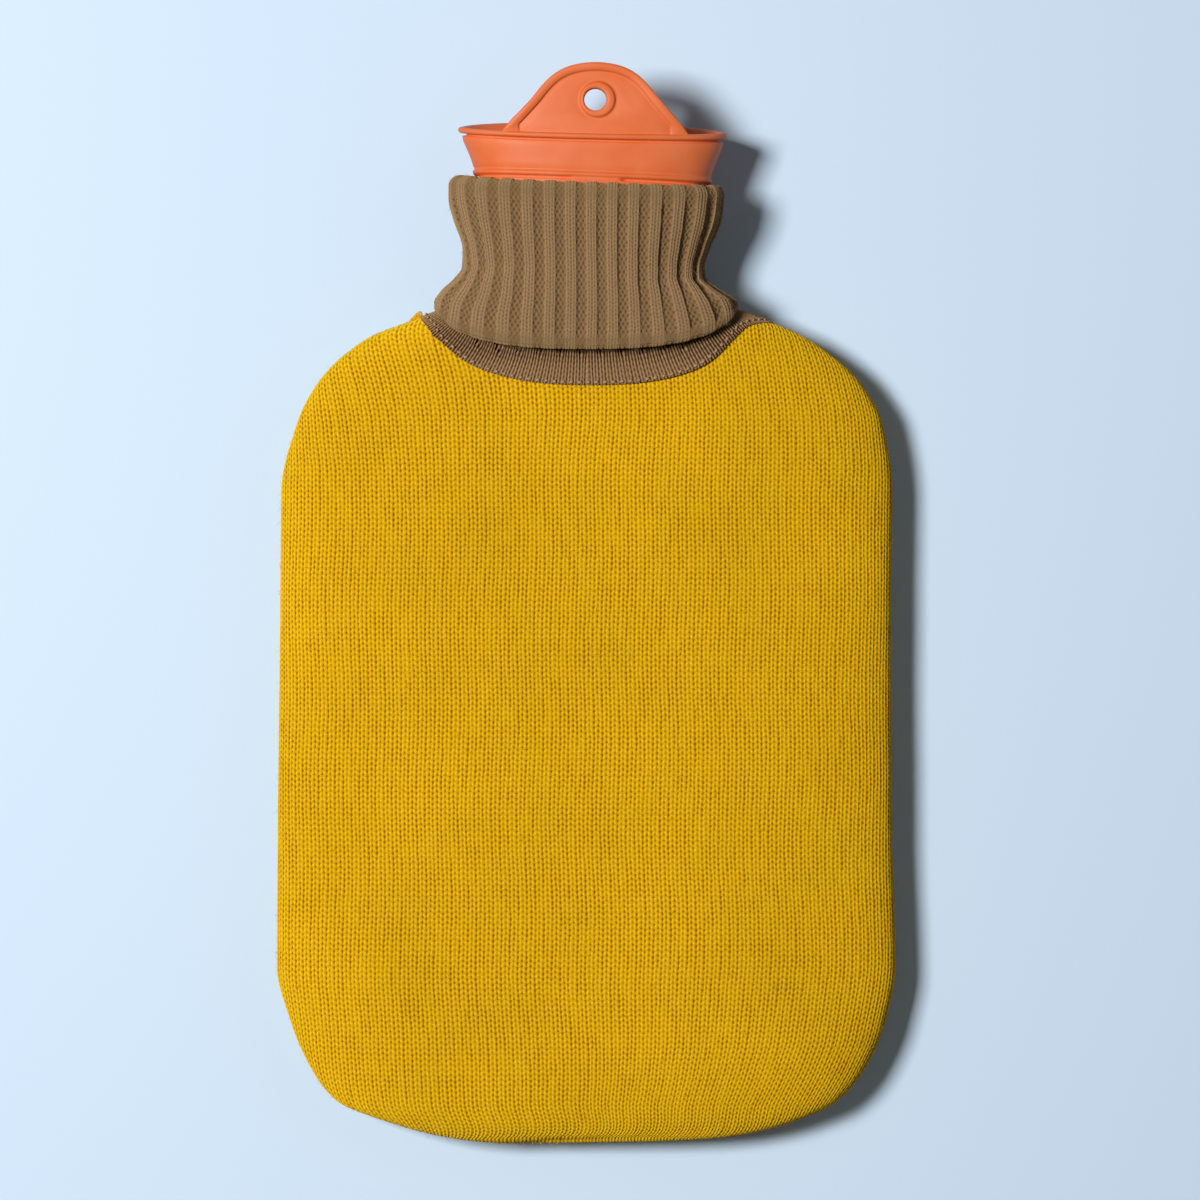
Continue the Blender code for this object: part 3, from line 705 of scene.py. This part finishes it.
# %% Sizes of the neck and the collar
GAP, RIM_Y, NECK_LEAN, RIM_LEAN = 0.3, 152.4, 0.044, 0.022
RIM_TILT, RIM_SIDE_UP, RIM_BACK_UP = 2.65, 0.35, 1.6
BOTTLE_NECK = (  # y, centre x, half width, lowest z, highest z, power
    (98.5, -0.3, 33.4, 7.0, 37.0, 0.8), (108.0, -0.7, 33.4, 7.0, 37.0, 0.8),
    (118.0, 0.4, 35.2, 7.0, 38.8, 0.79), (127.0, 1.3, 37.3, 7.0, 40.9, 0.8),
    (135.0, 2.0, 37.9, 7.0, 42.0, 0.8), (139.5, 2.3, 38.6, 7.0, 42.2, 0.8),
    (144.3, 2.3, 40.3, 7.0, 42.6, 0.8), (148.5, 2.3, 42.0, 7.0, 43.0, 0.8),
    (152.4, 2.3, 42.4, 7.0, 43.0, 0.8),
)
COLLAR_OUTSIDE = (  # y, left x, right x, front z, back z, power
    (82.0, -49.5, 50.5, 43.0, 0.4, 0.74), (97.0, -48.9, 49.5, 44.6, 0.4, 0.76),
    (101.0, -46.6, 44.2, 44.5, 0.4, 0.78), (104.5, -42.9, 39.6, 44.0, 0.4, 0.8),
    (108.5, -40.2, 38.9, 43.6, 0.4, 0.8), (114.0, -40.0, 40.4, 44.4, 0.4, 0.79),
    (124.0, -42.9, 44.1, 46.8, 0.4, 0.76), (130.5, -44.3, 44.8, 48.2, 0.4, 0.73),
    (137.0, -44.1, 45.6, 48.8, 0.4, 0.7),
)
OUTER_LAYER, INNER_LAYER, HEM_CLEARANCE = 3.2, 2.2, 0.6
FOLD_Y, FOLD_FRONT_DROP, FOLD_RISE, FOLD_ROOM = 132.8, 2.2, 3.7, 0.5
HEM_ROUND = 1.3
RIB_PITCH, RIB_SHIFT, RIB_WANDER, RIDGE_SHARE = 6.6, 0.43, 0.15, 0.57
COLLAR_COURSES, FOLD_COURSES = 37, 9
RIB_DEPTH, RIB_RELIEF, RIB_LEGS = 1.1, 0.3, 0.7
# A small amount also paints the ribbing darker in the finish: painted shade on the turned hem and over
# the fold.
HEM_AMOUNT, FOLD_AMOUNT = 0.15, 0.45  # how much relief is left at the hem and over the fold


def mouth_shift(y, across, sine):
    """How far a point of the neck is moved along Y: it leans to one side and the mouth tilts."""
    lean = NECK_LEAN * np.clip((y - NECK_Y) / (FOLD_Y - NECK_Y), 0, 1)
    up = np.maximum(0, (y - FOLD_Y) / (RIM_Y - FOLD_Y))
    lean = lean + (RIM_LEAN - NECK_LEAN) * up
    bow = RIM_SIDE_UP * (1 - np.abs(sine)) + RIM_BACK_UP * np.maximum(0, -sine)
    return up * (bow - RIM_TILT * sine) - lean * across


def neck_point(y, angle, out=0.0):
    """Points of the bottle's neck or mouth at heights and angles round it."""
    y, angle = np.broadcast_arrays(np.asarray(y, float), angle)
    centre, half_wide, low, high, power = read_rows(BOTTLE_NECK, y)
    x, z = oval(angle, centre - half_wide, centre + half_wide, low, high, power, out)
    return np.stack([x, y + mouth_shift(y, x - centre, np.sin(angle)), z], -1)


def collar_outside(y, angle, inset=0.0):
    """Points of the folded-down layer, which rests on the shoulders near its hem."""
    y, angle = np.broadcast_arrays(np.asarray(y, float), angle)
    left, right, front, back, power = read_rows(COLLAR_OUTSIDE, y)
    x, z = oval(angle, left, right, back, front, power, -inset)
    rest = front_of_skin(x, y) + HEM_CLEARANCE + OUTER_LAYER - inset
    return np.stack([x, y, np.where(np.sin(angle) > 0, np.maximum(z, rest), z)], -1)


# %% The collar's grid and its ribs
wales = np.arange(RIBS * 16 + 1) / 4
in_rib = wales % 4
ridge = in_rib / 2 * RIDGE_SHARE
share = np.where(in_rib <= 2, ridge, RIDGE_SHARE + (in_rib - 2) / 2 * (1 - RIDGE_SHARE))
ways = 2 * (np.floor(wales / 4) + share + RIB_SHIFT) / RIBS - 1


def fold_y(angle):
    return FOLD_Y - FOLD_FRONT_DROP * np.maximum(0, np.sin(angle))


def rib_ring(ring):
    """The points of one ring of the collar, with its ribs at one pitch across the front."""
    return ring(ring_angles(ring, ways, RIB_PITCH))


def outside_ring(share):
    def ring(angle):
        hem, fold = hem_y(angle), neck_point(fold_y(angle), angle, GAP)[..., 1]
        return collar_outside(hem + (fold - hem) * share, angle)

    return rib_ring(ring)


def inside_ring(share, out, below=0.0):
    """A ring between the start of the fold and the foot of the inner layer."""

    def ring(angle):
        top = fold_y(angle) - below
        return neck_point(top + (NECK_Y + GAP - top) * share, angle, out)

    return rib_ring(ring)


def between_ring(share):
    def ring(angle):
        top = neck_point(fold_y(angle) - FOLD_ROOM, angle, GAP + INNER_LAYER)[..., 1]
        return collar_outside(top + (hem_y(angle) - top) * share, angle, OUTER_LAYER)

    return rib_ring(ring)


outside = np.stack([outside_ring(t) for t in np.linspace(0, 1, COLLAR_COURSES * 2 + 1)])
down = np.stack([inside_ring(t, GAP) for t in np.linspace(0, 1, 9)])
upward = np.stack([inside_ring(t, GAP + INNER_LAYER, FOLD_ROOM) for t in np.linspace(1, 0, 6)])
back = np.stack([between_ring(t) for t in np.linspace(0, 1, 12)])


def turn_over(one, other, steps, rise):
    """Rings that turn over from one ring to the other, towards the mouth where rise is over 0."""
    turn = np.radians(np.linspace(0, 180, steps + 1))[1:-1, None, None]
    rings = (one + other) / 2 + (one - other) / 2 * np.cos(turn)
    rings[..., 1] += rise * np.sin(turn[..., 0])
    return rings


turn = turn_over(outside[-1], down[0], FOLD_COURSES * 2, FOLD_RISE)
hem_turn = turn_over(back[-1], outside[0], 8, -HEM_ROUND)
loop = np.concatenate([outside, turn, down, upward, back, hem_turn, outside[:1]])
shown = len(outside) + len(turn)
course = np.concatenate([np.arange(shown) / 2, np.full(len(loop) - shown, shown / 2)])
course[-1] = 0
last = len(outside) - 1
# Small amounts at the hem and over the fold also paint the ribbing darker there, as shade.
steps = (0, 2.5, 5.0, last - 7.0, last, shown - 1, shown + 2)
levels = (HEM_AMOUNT, HEM_AMOUNT, 1.0, 1.0, FOLD_AMOUNT, FOLD_AMOUNT, 0.0)
fade = np.interp(np.arange(len(loop)), steps, levels)
fade[-5:] = HEM_AMOUNT
loop[..., 0] += RIB_WANDER * np.sin(loop[..., 1] / 7 + loop[..., 0] / 19) * (fade[:, None] > 0)
across, along = np.broadcast_arrays(wales[None, :], course[:, None])
amount = close_round(fade[:, None] * uneven(across, along, 0.85, 1.15, UNEVEN_SEED + 2))
across = across + uneven(across, along, -0.05, 0.05, UNEVEN_SEED + 3)
collar = grid_mesh("roll_collar_rib", close_round(loop), across, along, amount)
run_tree(
    collar, knit_tree, Relief=RIB_RELIEF * MM, Leg_share=RIB_LEGS, Rib_depth=RIB_DEPTH * MM,
    Ribbed=1.0, Finish=brown_rib,
)
print("The collar has", len(collar.data.polygons), "faces")

# %% [markdown]
# The bottle is moulded rubber. Only its flared mouth shows, with a raised bead and a fine
# groove at its base and a thick rolled lip. It could be turned on a lathe and squashed, but
# its section is a rounded oblong, so it is lofted through rings, as the mould was cut. The
# body inside the cover is left plain, because nothing of it can be seen.

# %% The bottle, its mouth and its throat
BOTTLE_INSET = 4.0
BOTTLE_ROWS = (-176, -174.5, -171, -163, -149, -125, -80, 0, 40, 62, 76, 86, 92)
SHOULDER_ROWS = ((94.5, 3.9), (96.0, 3.7), (97.2, 3.5), (98.2, 3.2), (98.5, 2.9))
NECK_ROWS = (98.8, 104, 109, 115, 121, 127, 132.8, 135.0)
BARE_X, BARE_HALF, BASE_TOP = 3.6, 8.0, 136.7  # the base groove stops short of the front's middle
MOUTH_PROFILE = (  # y, how far it stands out
    (135.4, -0.1), (135.55, -1.6), (136.3, -1.7), (136.5, -0.1), (136.8, 0.25), (137.1, 0.4),
    (137.6, 0.45), (138.0, 0.25), (138.3, -0.1), (138.6, -0.25), (139.0, -0.2), (139.5, 0.0),
    (141.5, 0.0), (143.5, 0.0), (145.5, 0.0), (147.5, 0.0), (149.0, 0.0), (149.5, -0.1),
    (149.65, -1.4), (150.15, -1.5), (150.35, 0.2), (150.5, 0.75), (150.8, 1.0), (151.2, 1.15),
    (151.6, 1.1), (152.0, 0.95), (152.3, 0.6), (152.42, 0.0), (152.4, -0.9), (152.2, -1.7),
    (151.7, -2.2),
)
FUNNEL = (  # y, share of the rim's half width, share of its half depth
    (149.5, 0.9, 0.8), (147.0, 0.86, 0.75), (143.0, 0.79, 0.7), (139.0, 0.68, 0.66),
    (135.0, 0.53, 0.63), (131.0, 0.38, 0.6), (127.5, 0.285, 0.58), (115.0, 0.275, 0.57),
    (101.0, 0.27, 0.56),
)
FUNNEL_POWER, MOUTH_COLUMNS = 0.8, 192
angles = ring_angles(lambda a: neck_point(RIM_Y, a), np.linspace(-1, 1, MOUTH_COLUMNS + 1))
rings = [skin(y, angles, BOTTLE_INSET) for y in BOTTLE_ROWS]
rings += [skin(y, angles, inset) for y, inset in SHOULDER_ROWS]
rings += [neck_point(y, angles) for y in NECK_ROWS]
beside = np.clip(np.abs(neck_point(BASE_TOP, angles)[:, 0] - BARE_X) - BARE_HALF, 0, 1)
beside[np.sin(angles) < 0] = 1
for y, out in MOUTH_PROFILE:
    rings.append(neck_point(y, angles, out * beside if y < BASE_TOP else out))
centre, half_wide, low, high, _ = read_rows(BOTTLE_NECK, RIM_Y)
for y, wide, deep in FUNNEL:
    x = centre + half_wide * wide * bend(np.cos(angles), FUNNEL_POWER)
    z = (low + high) / 2 + (high - low) / 2 * deep * bend(np.sin(angles), FUNNEL_POWER)
    rings.append(np.stack([x, y + mouth_shift(y, x - centre, np.sin(angles)), z], -1))
# The bottle's bottom and the end of its throat are each closed to a point.
bottom, end = (ring * 0 + ring[:-1].mean(axis=0) for ring in (rings[0], rings[-1]))
rings = [bottom, *rings, end]
bottle = grid_mesh("bottle_rubber", close_round(np.stack(rings)))
print("The bottle has", len(bottle.data.polygons), "faces")

# %% [markdown]
# The hanging tab is a flat rubber arch that stands on the front wall of the mouth and bends
# with it. It has a raised bead along its edge and a raised ring round its hole. Its grid
# runs in rings from the hole out to the edge and back underneath, so the hole needs no
# boolean.

# %% The hanging tab
TAB_X, TAB_FACE, TAB_BEAD, TAB_BEAD_WIDE, TAB_FLATTENS = 3.2, 2.6, 0.9, 3.0, 0.6
FOOT_STRIP = 1.5  # the plain strip along the tab's foot
TAB_EDGE = (  # height over the rim's middle, half width
    (0.0, 30.6), (1.9, 28.4), (3.8, 26.8), (7.6, 23.4), (11.4, 20.1), (15.1, 17.1),
    (19.0, 12.9), (21.1, 8.8), (22.5, 0.0),
)
HOLE_HEIGHT, HOLE_RADIUS, RING_RADIUS, RING_SHIFT = 10.6, 3.55, 5.5, 0.7
TAB_ROOT = 1.5  # how far the foot of the tab goes into the lip, as one moulding does


def rim_front(x):
    """The height along Y and the front face's Z of the rim at each x."""
    centre, half_wide, low, high, power = read_rows(BOTTLE_NECK, RIM_Y)
    cosine = np.minimum(1, np.abs(x - centre) / half_wide) ** (1 / power)
    sine = np.sqrt(np.maximum(0, 1 - cosine**2))
    y = RIM_Y + mouth_shift(RIM_Y, x - centre, sine)
    return y, (low + high) / 2 + (high - low) / 2 * bend(sine, power)


def tab_point(direction, distance, stand, shift):
    x = TAB_X + shift + distance * np.cos(direction)
    upright = HOLE_HEIGHT + distance * np.sin(direction)
    rim_y, rim_z = rim_front(x)
    middle_y, middle_z = rim_front(np.array(TAB_X))
    share = np.minimum(1, upright / HOLE_HEIGHT)
    y = upright + rim_y + (middle_y - rim_y) * share + GAP - TAB_ROOT * np.maximum(0, 1 - upright / 2)
    z = middle_z + (rim_z - middle_z) * (1 - TAB_FLATTENS * share) + stand
    return np.stack([x, y, z], -1)


corner = math.atan2(HOLE_HEIGHT, TAB_EDGE[0][1])
arch = np.linspace(-corner, math.pi + corner, 161)
base = np.linspace(math.pi + corner, 2 * math.pi - corner, 41)[1:]
direction = np.concatenate([arch, base])
squares = [(height, half**2) for height, half in TAB_EDGE]  # which keeps the top round
ray = np.stack([np.cos(direction), np.sin(direction)], -1)


def furthest(most, fits):
    """How far each direction can go and still fit, found by halving."""
    near, far = np.zeros(len(direction)), most
    for _ in range(30):
        middle = (near + far) / 2
        good = fits(middle)
        near, far = np.where(good, middle, near), np.where(good, far, middle)
    return near


def in_arch(distance):
    tall = HOLE_HEIGHT + distance * np.sin(direction)
    narrow = (distance * np.cos(direction)) ** 2 < read_rows(squares, tall)[0]
    return (tall >= 0) & (tall < TAB_EDGE[-1][0]) & narrow


near = furthest(np.full(len(direction), 62.0), in_arch)
arch_edge = near[: len(arch), None] * ray[: len(arch)]


def off_bead(distance):
    gaps = np.linalg.norm((distance[:, None] * ray)[:, None] - arch_edge, axis=2)
    return gaps.min(axis=1) > TAB_BEAD_WIDE


inner = furthest(near - FOOT_STRIP, off_bead)
bead = TAB_BEAD * np.clip((near - inner - FOOT_STRIP) / 0.8, 0, 1)
section = [
    (HOLE_RADIUS, 0.4 - TAB_FACE, 0.0), (HOLE_RADIUS, TAB_BEAD - 0.45, 0.0),
    (HOLE_RADIUS + 0.12, TAB_BEAD - 0.15, 0.0), (HOLE_RADIUS + 0.4, TAB_BEAD, 0.3),
    (RING_RADIUS - 0.5, TAB_BEAD, RING_SHIFT), (RING_RADIUS - 0.1, TAB_BEAD - 0.15, RING_SHIFT),
    (RING_RADIUS + 0.1, TAB_BEAD - 0.5, RING_SHIFT), (RING_RADIUS + 0.3, 0.05, RING_SHIFT),
    (RING_RADIUS + 0.6, -0.1, RING_SHIFT), (RING_RADIUS + 1.1, 0.0, RING_SHIFT),
]
ring_foot, bead_foot = RING_RADIUS + 1.1, inner - 0.5
section += [
    (ring_foot * (1 - t) + bead_foot * t, 0.0, RING_SHIFT * (1 - t)) for t in (0.33, 0.66, 1)
]
section += [
    (inner, -0.12 * (bead > 0), 0.0), (inner + 0.3, bead * 0.1, 0.0), (inner + 0.5, bead * 0.6, 0.0),
    (inner + 0.75, bead * 0.95, 0.0), (near - 0.7, bead, 0.0), (near - 0.2, bead - 0.12, 0.0),
    (near, bead - 0.5, 0.0), (near, 0.5 - TAB_FACE, 0.0), (near - 0.35, 0.05 - TAB_FACE, 0.0),
    (near - 1.0, -TAB_FACE, 0.0), ((near + HOLE_RADIUS) / 2, -TAB_FACE, 0.0),
    (HOLE_RADIUS + 0.4, -TAB_FACE, 0.0), (HOLE_RADIUS, 0.4 - TAB_FACE, 0.0),
]
tab = grid_mesh(
    "hanging_tab_rubber",
    close_round(np.stack([tab_point(direction, d + 0 * near, s + 0 * near, h) for d, s, h in section])),
)
print("The tab has", len(tab.data.polygons), "faces")

# %% [markdown]
# Rubber of this kind is moulded natural rubber, coloured all through: a soft satin surface
# with a faint bloom, which is a pale powder that comes out of it and gathers in hollows.

# %% Moulded rubber
RUBBER_GRAIN_MM, BLOOM_MM = 0.5, 14.0
rubber, tree, shader = new_finish("moulded_coral_rubber")
grain, bloom = grains(tree, (RUBBER_GRAIN_MM, 2.0), (BLOOM_MM, 4.0))
bloomed = add(tree, "ShaderNodeMapRange", {0: bloom, 1: 0.4, 2: 0.75})[0]
shade = add(
    tree, "ShaderNodeMix", {0: bloomed, 6: colour("#CF6331"), 7: colour("#D46F42")}, data_type="RGBA"
)[2]
satin = add(tree, "ShaderNodeMapRange", {0: bloom, 1: 0.3, 2: 0.7, 3: 0.46, 4: 0.56})[0]
bump = add(tree, "ShaderNodeBump", {"Height": grain, "Distance": 0.03 * MM, "Strength": 0.5})[0]
fill(shader, {"Base Color": shade, "Roughness": satin, "Normal": bump, "Specular IOR Level": 0.25})
for piece in (bottle, tab):
    piece.data.materials.append(rubber)

# %% [markdown]
# Two lines of the cover are made of single yarn loops: the linking that joins the band to
# the panels, and the side seam, which ends in a small knot at the left shoulder. They follow
# a path and repeat, so one Geometry Nodes tree strings a loop of yarn along a line.

# %% A tree that strings loops of yarn along a line
LOOP_SLANT = 0.4  # radians off the line, as each strand goes over the one before
tree, given = make_tree("yarn loops", (
    ("Pitch", "Float"), ("Loop_size", "Vector"), ("Yarn_radius", "Float"), ("Seed", "Int"),
    ("Finish", "Material"),
))
line = add(tree, "GeometryNodeMeshToCurve", {"Mesh": given["Geometry"]})[0]
dots = add(tree, "GeometryNodeCurveToPoints", {"Curve": line, "Length": given["Pitch"]}, mode="LENGTH")
facing = add(tree, "GeometryNodeInputNamedAttribute", {"Name": "up"}, data_type="FLOAT_VECTOR")[0]
along_line = add(tree, "FunctionNodeAlignRotationToVector", {"Vector": dots["Tangent"]}, axis="X")[0]
flat_on = add(
    tree, "FunctionNodeAlignRotationToVector", {"Rotation": along_line, "Vector": facing},
    axis="Z", pivot_axis="X",
)[0]
slanted = add(
    tree, "FunctionNodeRotateRotation", {"Rotation": flat_on, "Rotate By": (0.0, 0.0, LOOP_SLANT)},
    rotation_space="LOCAL",
)[0]
ring = add(tree, "GeometryNodeCurvePrimitiveCircle", {"Resolution": 9, "Radius": 1.0})[0]
stretched = add(tree, "GeometryNodeTransform", {"Geometry": ring, "Scale": given["Loop_size"]})[0]
round_yarn = {"Resolution": 4, "Radius": given["Yarn_radius"]}
thread = add(tree, "GeometryNodeCurvePrimitiveCircle", round_yarn)[0]
one_loop = add(tree, "GeometryNodeCurveToMesh", {"Curve": stretched, "Profile Curve": thread})[0]
uneven_size = add(
    tree, "FunctionNodeRandomValue",
    {"Min": (0.88, 0.85, 0.9), "Max": (1.1, 1.12, 1.1), "Seed": given["Seed"]},
    data_type="FLOAT_VECTOR",
)[0]
strung = add(
    tree, "GeometryNodeInstanceOnPoints",
    {"Points": dots["Points"], "Instance": one_loop, "Rotation": slanted, "Scale": uneven_size},
)[0]
loop_tree = finish_tree(tree, strung, given["Finish"])


def yarn_loops(name, line, up, pitch, size, radius, seed, finish):
    """Loops of yarn along a line of points, lying flat to the directions in up."""
    data = bpy.data.meshes.new(name)
    edges = [(i, i + 1) for i in range(len(line) - 1)]
    data.from_pydata((line * MM).tolist(), edges, [])
    layer = data.attributes.new("up", "FLOAT_VECTOR", "POINT")
    layer.data.foreach_set("vector", np.ascontiguousarray(up, dtype=float).reshape(-1))
    obj = new_object(name, data)
    run_tree(
        obj, loop_tree, Pitch=pitch * MM, Loop_size=(size[0] * MM / 2, size[1] * MM / 2, 1.0),
        Yarn_radius=radius * MM, Seed=seed, Finish=finish,
    )
    obj.data.shade_smooth()
    print(name, "has", len(obj.data.polygons), "faces")
    return obj


# %% [markdown]
# The loops are the same yarn as the fabric, seen one strand at a time. A knitted surface's
# finish would draw stitches on them, so this one has only the fibres' lighter and darker dots.

# %% Loose yarn


def loose_yarn(name, dark, light):
    """A single strand of spun yarn."""
    finish, tree, shader = new_finish(name)
    (fibres,) = grains(tree, (FIBRE_MM, 2.0))
    shade = add(tree, "ShaderNodeValToRGB", {"Fac": fibres})[0]
    for stop, at, tone in zip(shade.node.color_ramp.elements, (0.35, 0.65), (dark, light)):
        stop.position, stop.color = at, colour(tone)
    bump = add(tree, "ShaderNodeBump", {"Height": fibres, "Distance": 0.08 * MM})[0]
    fill(shader, {"Base Color": shade, "Normal": bump, "Roughness": 0.9, "Specular IOR Level": 0.25})
    return finish


mustard_strand = loose_yarn("mustard_spun_strand", "#B88204", "#DCAA10")
brown_strand = loose_yarn("brown_spun_strand", "#84664A", "#B4946E")


def outward(ring, angles, step=0.02):
    """Directions that point out of a surface along a ring, from the ring and one beside it."""
    line = ring(angles)
    ahead = ring(angles + step) - ring(angles - step)
    middle = line[:-1].mean(axis=0)
    side = np.cross(ahead, np.array([0.0, 1.0, 0.0]))
    side *= np.sign((side * (line - middle)).sum(axis=1))[:, None]
    return side / np.linalg.norm(side, axis=1)[:, None]


# %% [markdown]
# The linking lies on the band along the panels' edge, the side seam is sunk between the two
# panels, and the yarn's end stands up as a knot at the left shoulder. All three could be
# painted on, but they catch the light and break the outline, so they are real yarn.

# %% The linking, the side seam and its knot
SEAM_DEPTH, SEAM_TOP = 1.2, 91.0
LINKING_ABOVE, LINKING_INSET = 0.8, -0.3  # mm above the neckline and off the skin
ways = np.linspace(-1, 1, 721)


def linking_ring(angle):
    return skin(neckline_y(angle) + LINKING_ABOVE, angle, LINKING_INSET)


angles = ring_angles(linking_ring, ways)
linking = yarn_loops(
    "neckline_linking", linking_ring(angles), outward(linking_ring, angles), 2.7, (1.1, 0.35), 0.32,
    3, brown_strand,
)

heights = from_foot(SEAM_TOP, 60, 300, 3)
right, left = (skin(heights, angle) for angle in (0.0, math.pi))
seam_line = np.concatenate([left[::-1], right])
seam_out = np.cross(np.gradient(seam_line, axis=0), (0.0, 0.0, 1.0))
seam_out /= np.linalg.norm(seam_out, axis=1)[:, None]
side_seam = yarn_loops(
    "side_seam_stitches", seam_line - SEAM_DEPTH * seam_out, seam_out, 2.7, (2.4, 1.8), 0.34, 7,
    mustard_strand,
)
knot_line = np.array([[-56.0, 91.0, 20.5], [-54.8, 92.4, 21.0], [-53.8, 93.2, 21.4]])
knot = yarn_loops(
    "shoulder_knot", knot_line, knot_line * 0 + (0.2, 0.3, 1.0), 0.9, (2.0, 1.6), 0.38, 9,
    mustard_strand,
)

# %% [markdown]
# Spun yarn is never smooth: short fibres stand off it and catch the light along the edges.
# A particle system would grow them, but the export can't keep one. Here a Geometry Nodes
# tree scatters bent three-sided fibres over each knitted piece with a fixed seed.

# %% A tree that scatters loose fibres
tree, given = make_tree("loose fibres", (("Density", "Float"), ("Seed", "Int"), ("Finish", "Material")))
FIBRE_LENGTH, FIBRE_RADIUS, CLEAR_OF_FLOOR = 2.2, 0.03, 3.5
place = add(tree, "GeometryNodeInputPosition")[0]
rise = add(tree, "ShaderNodeSeparateXYZ", {0: place})[2]
above = {"A": rise, "B": CLEAR_OF_FLOOR * MM}
clear = add(tree, "FunctionNodeCompare", above, operation="GREATER_THAN")[0]
scatter = add(tree, "GeometryNodeDistributePointsOnFaces", {
    "Mesh": given["Geometry"], "Selection": clear, "Density": given["Density"],
    "Seed": given["Seed"],
})
arc = add(tree, "GeometryNodeCurveQuadraticBezier", {
    "Resolution": 3, "Start": (0.0, 0.0, -0.1 * MM),
    "Middle": (FIBRE_LENGTH * MM * 0.4, 0.0, 0.9 * MM),
    "End": (FIBRE_LENGTH * MM, 0.3 * MM, 0.45 * MM),
})[0]
thread = add(tree, "GeometryNodeCurvePrimitiveCircle", {"Resolution": 3, "Radius": FIBRE_RADIUS * MM})[0]
fibre = add(tree, "GeometryNodeCurveToMesh", {"Curve": arc, "Profile Curve": thread})[0]
spin, length = (
    add(
        tree, "FunctionNodeRandomValue", {"Min": low, "Max": high, "Seed": given["Seed"]},
        data_type="FLOAT_VECTOR",
    )[0]
    for low, high in (((-0.2, -0.3, 0.0), (0.2, 0.3, 6.28)), ((0.5, 0.7, 0.5), (1.3, 1.2, 1.3)))
)
spin = add(tree, "FunctionNodeEulerToRotation", {0: spin})[0]
lying = add(
    tree, "FunctionNodeRotateRotation", {"Rotation": scatter["Rotation"], "Rotate By": spin},
    rotation_space="LOCAL",
)[0]
grown = add(
    tree, "GeometryNodeInstanceOnPoints",
    {"Points": scatter["Points"], "Instance": fibre, "Rotation": lying, "Scale": length},
)[0]
fibre_tree = finish_tree(tree, grown, given["Finish"])


def loose_fibres(name, sources, density, seed, finish):
    """Loose fibres over some pieces, as one plain mesh."""
    obj = new_object(name, bpy.data.meshes.new(name))
    points, faces = [], []
    for source in sources:
        first = sum(map(len, points))
        coords = np.empty(len(source.data.vertices) * 3)
        source.data.vertices.foreach_get("co", coords)
        points.append(coords.reshape(-1, 3))
        faces += [[first + v for v in f.vertices] for f in source.data.polygons]
    obj.data.from_pydata(np.concatenate(points).tolist(), [], faces)
    run_tree(obj, fibre_tree, Density=density, Seed=seed, Finish=finish)
    print(name, "has", len(obj.data.polygons), "faces")
    return obj


mustard_fuzz = loose_fibres("mustard_loose_fibres", panels.values(), 36000.0, 11, mustard_strand)
brown_fuzz = loose_fibres("brown_loose_fibres", [band, collar], 60000.0, 13, brown_strand)

# %% [markdown]
# The photograph was taken from straight above, on a plain floor, with one soft light at the
# left. A sky or a ring of lamps would light it evenly and lose the shadow. One area lamp
# gives the shadow its narrow soft edge, and a weak wide one opens the shaded side a little.

# %% The floor, the light and the camera
CAMERA = (4.7, 0.8, 1500.0)
LENS = 136.9
floor = grid_mesh("floor", np.array([[[x, y, -0.05] for x in (2500, -2500)] for y in (-2500, 2500)]))
paper, _, shader = new_finish("pale_paper_backdrop")
fill(shader, {"Base Color": colour("#BED0E1"), "Roughness": 0.85})
floor.data.materials.append(paper)

camera = new_object("camera", bpy.data.cameras.new("camera"))
camera.location = [v * MM for v in CAMERA]
camera.data.lens, camera.data.sensor_width = LENS, 36
camera.data.clip_start, camera.data.clip_end = 0.1, 20
bpy.context.scene.camera = camera

LIGHTS = (
    # name, azimuth from +X, elevation, distance in m, size in m, watts
    ("key", 165, 62, 2.0, 0.45, 50.0),
    ("fill", 15, 45, 2.0, 1.5, 3.0),
)
for name, azimuth, elevation, distance, size, watts in LIGHTS:
    a, e = math.radians(azimuth), math.radians(elevation)
    lamp = new_object(name, bpy.data.lights.new(name, "AREA"))
    lamp.data.size, lamp.data.energy = size, watts
    along = Vector((math.cos(a) * math.cos(e), math.sin(a) * math.cos(e), math.sin(e)))
    lamp.location = distance * along
    lamp.rotation_mode = "QUATERNION"
    lamp.rotation_quaternion = lamp.location.to_track_quat("Z", "Y")
world = bpy.data.worlds.new("soft_sky")
world.use_nodes = True
fill(world.node_tree.nodes["Background"], {"Color": colour("#E8EEF6"), "Strength": 0.08})
bpy.context.scene.world = world
bpy.context.scene.view_settings.view_transform = "Standard"

# %% [markdown]
# Nothing on the cover moves, so every piece rides on the one body. The six big pieces stand
# for their CAD nodes.

# %% Each piece rides on the one body, and stands for its CAD node
for piece, slot, node in (
    (panels["body_front"], "yellow_yarn", "body_front"),
    (panels["body_back"], "yellow_yarn", "body_back"), (band, "brown_yarn", "neck_band"),
    (collar, "brown_yarn", "roll_collar"), (bottle, "rubber", "bottle"),
    (tab, "rubber", "hanging_tab"), (linking, "brown_yarn", None), (brown_fuzz, "brown_yarn", None),
    (side_seam, "yellow_yarn", None), (knot, "yellow_yarn", None),
    (mustard_fuzz, "yellow_yarn", None),
):
    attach(piece, "root")
    if node:
        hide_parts(node)
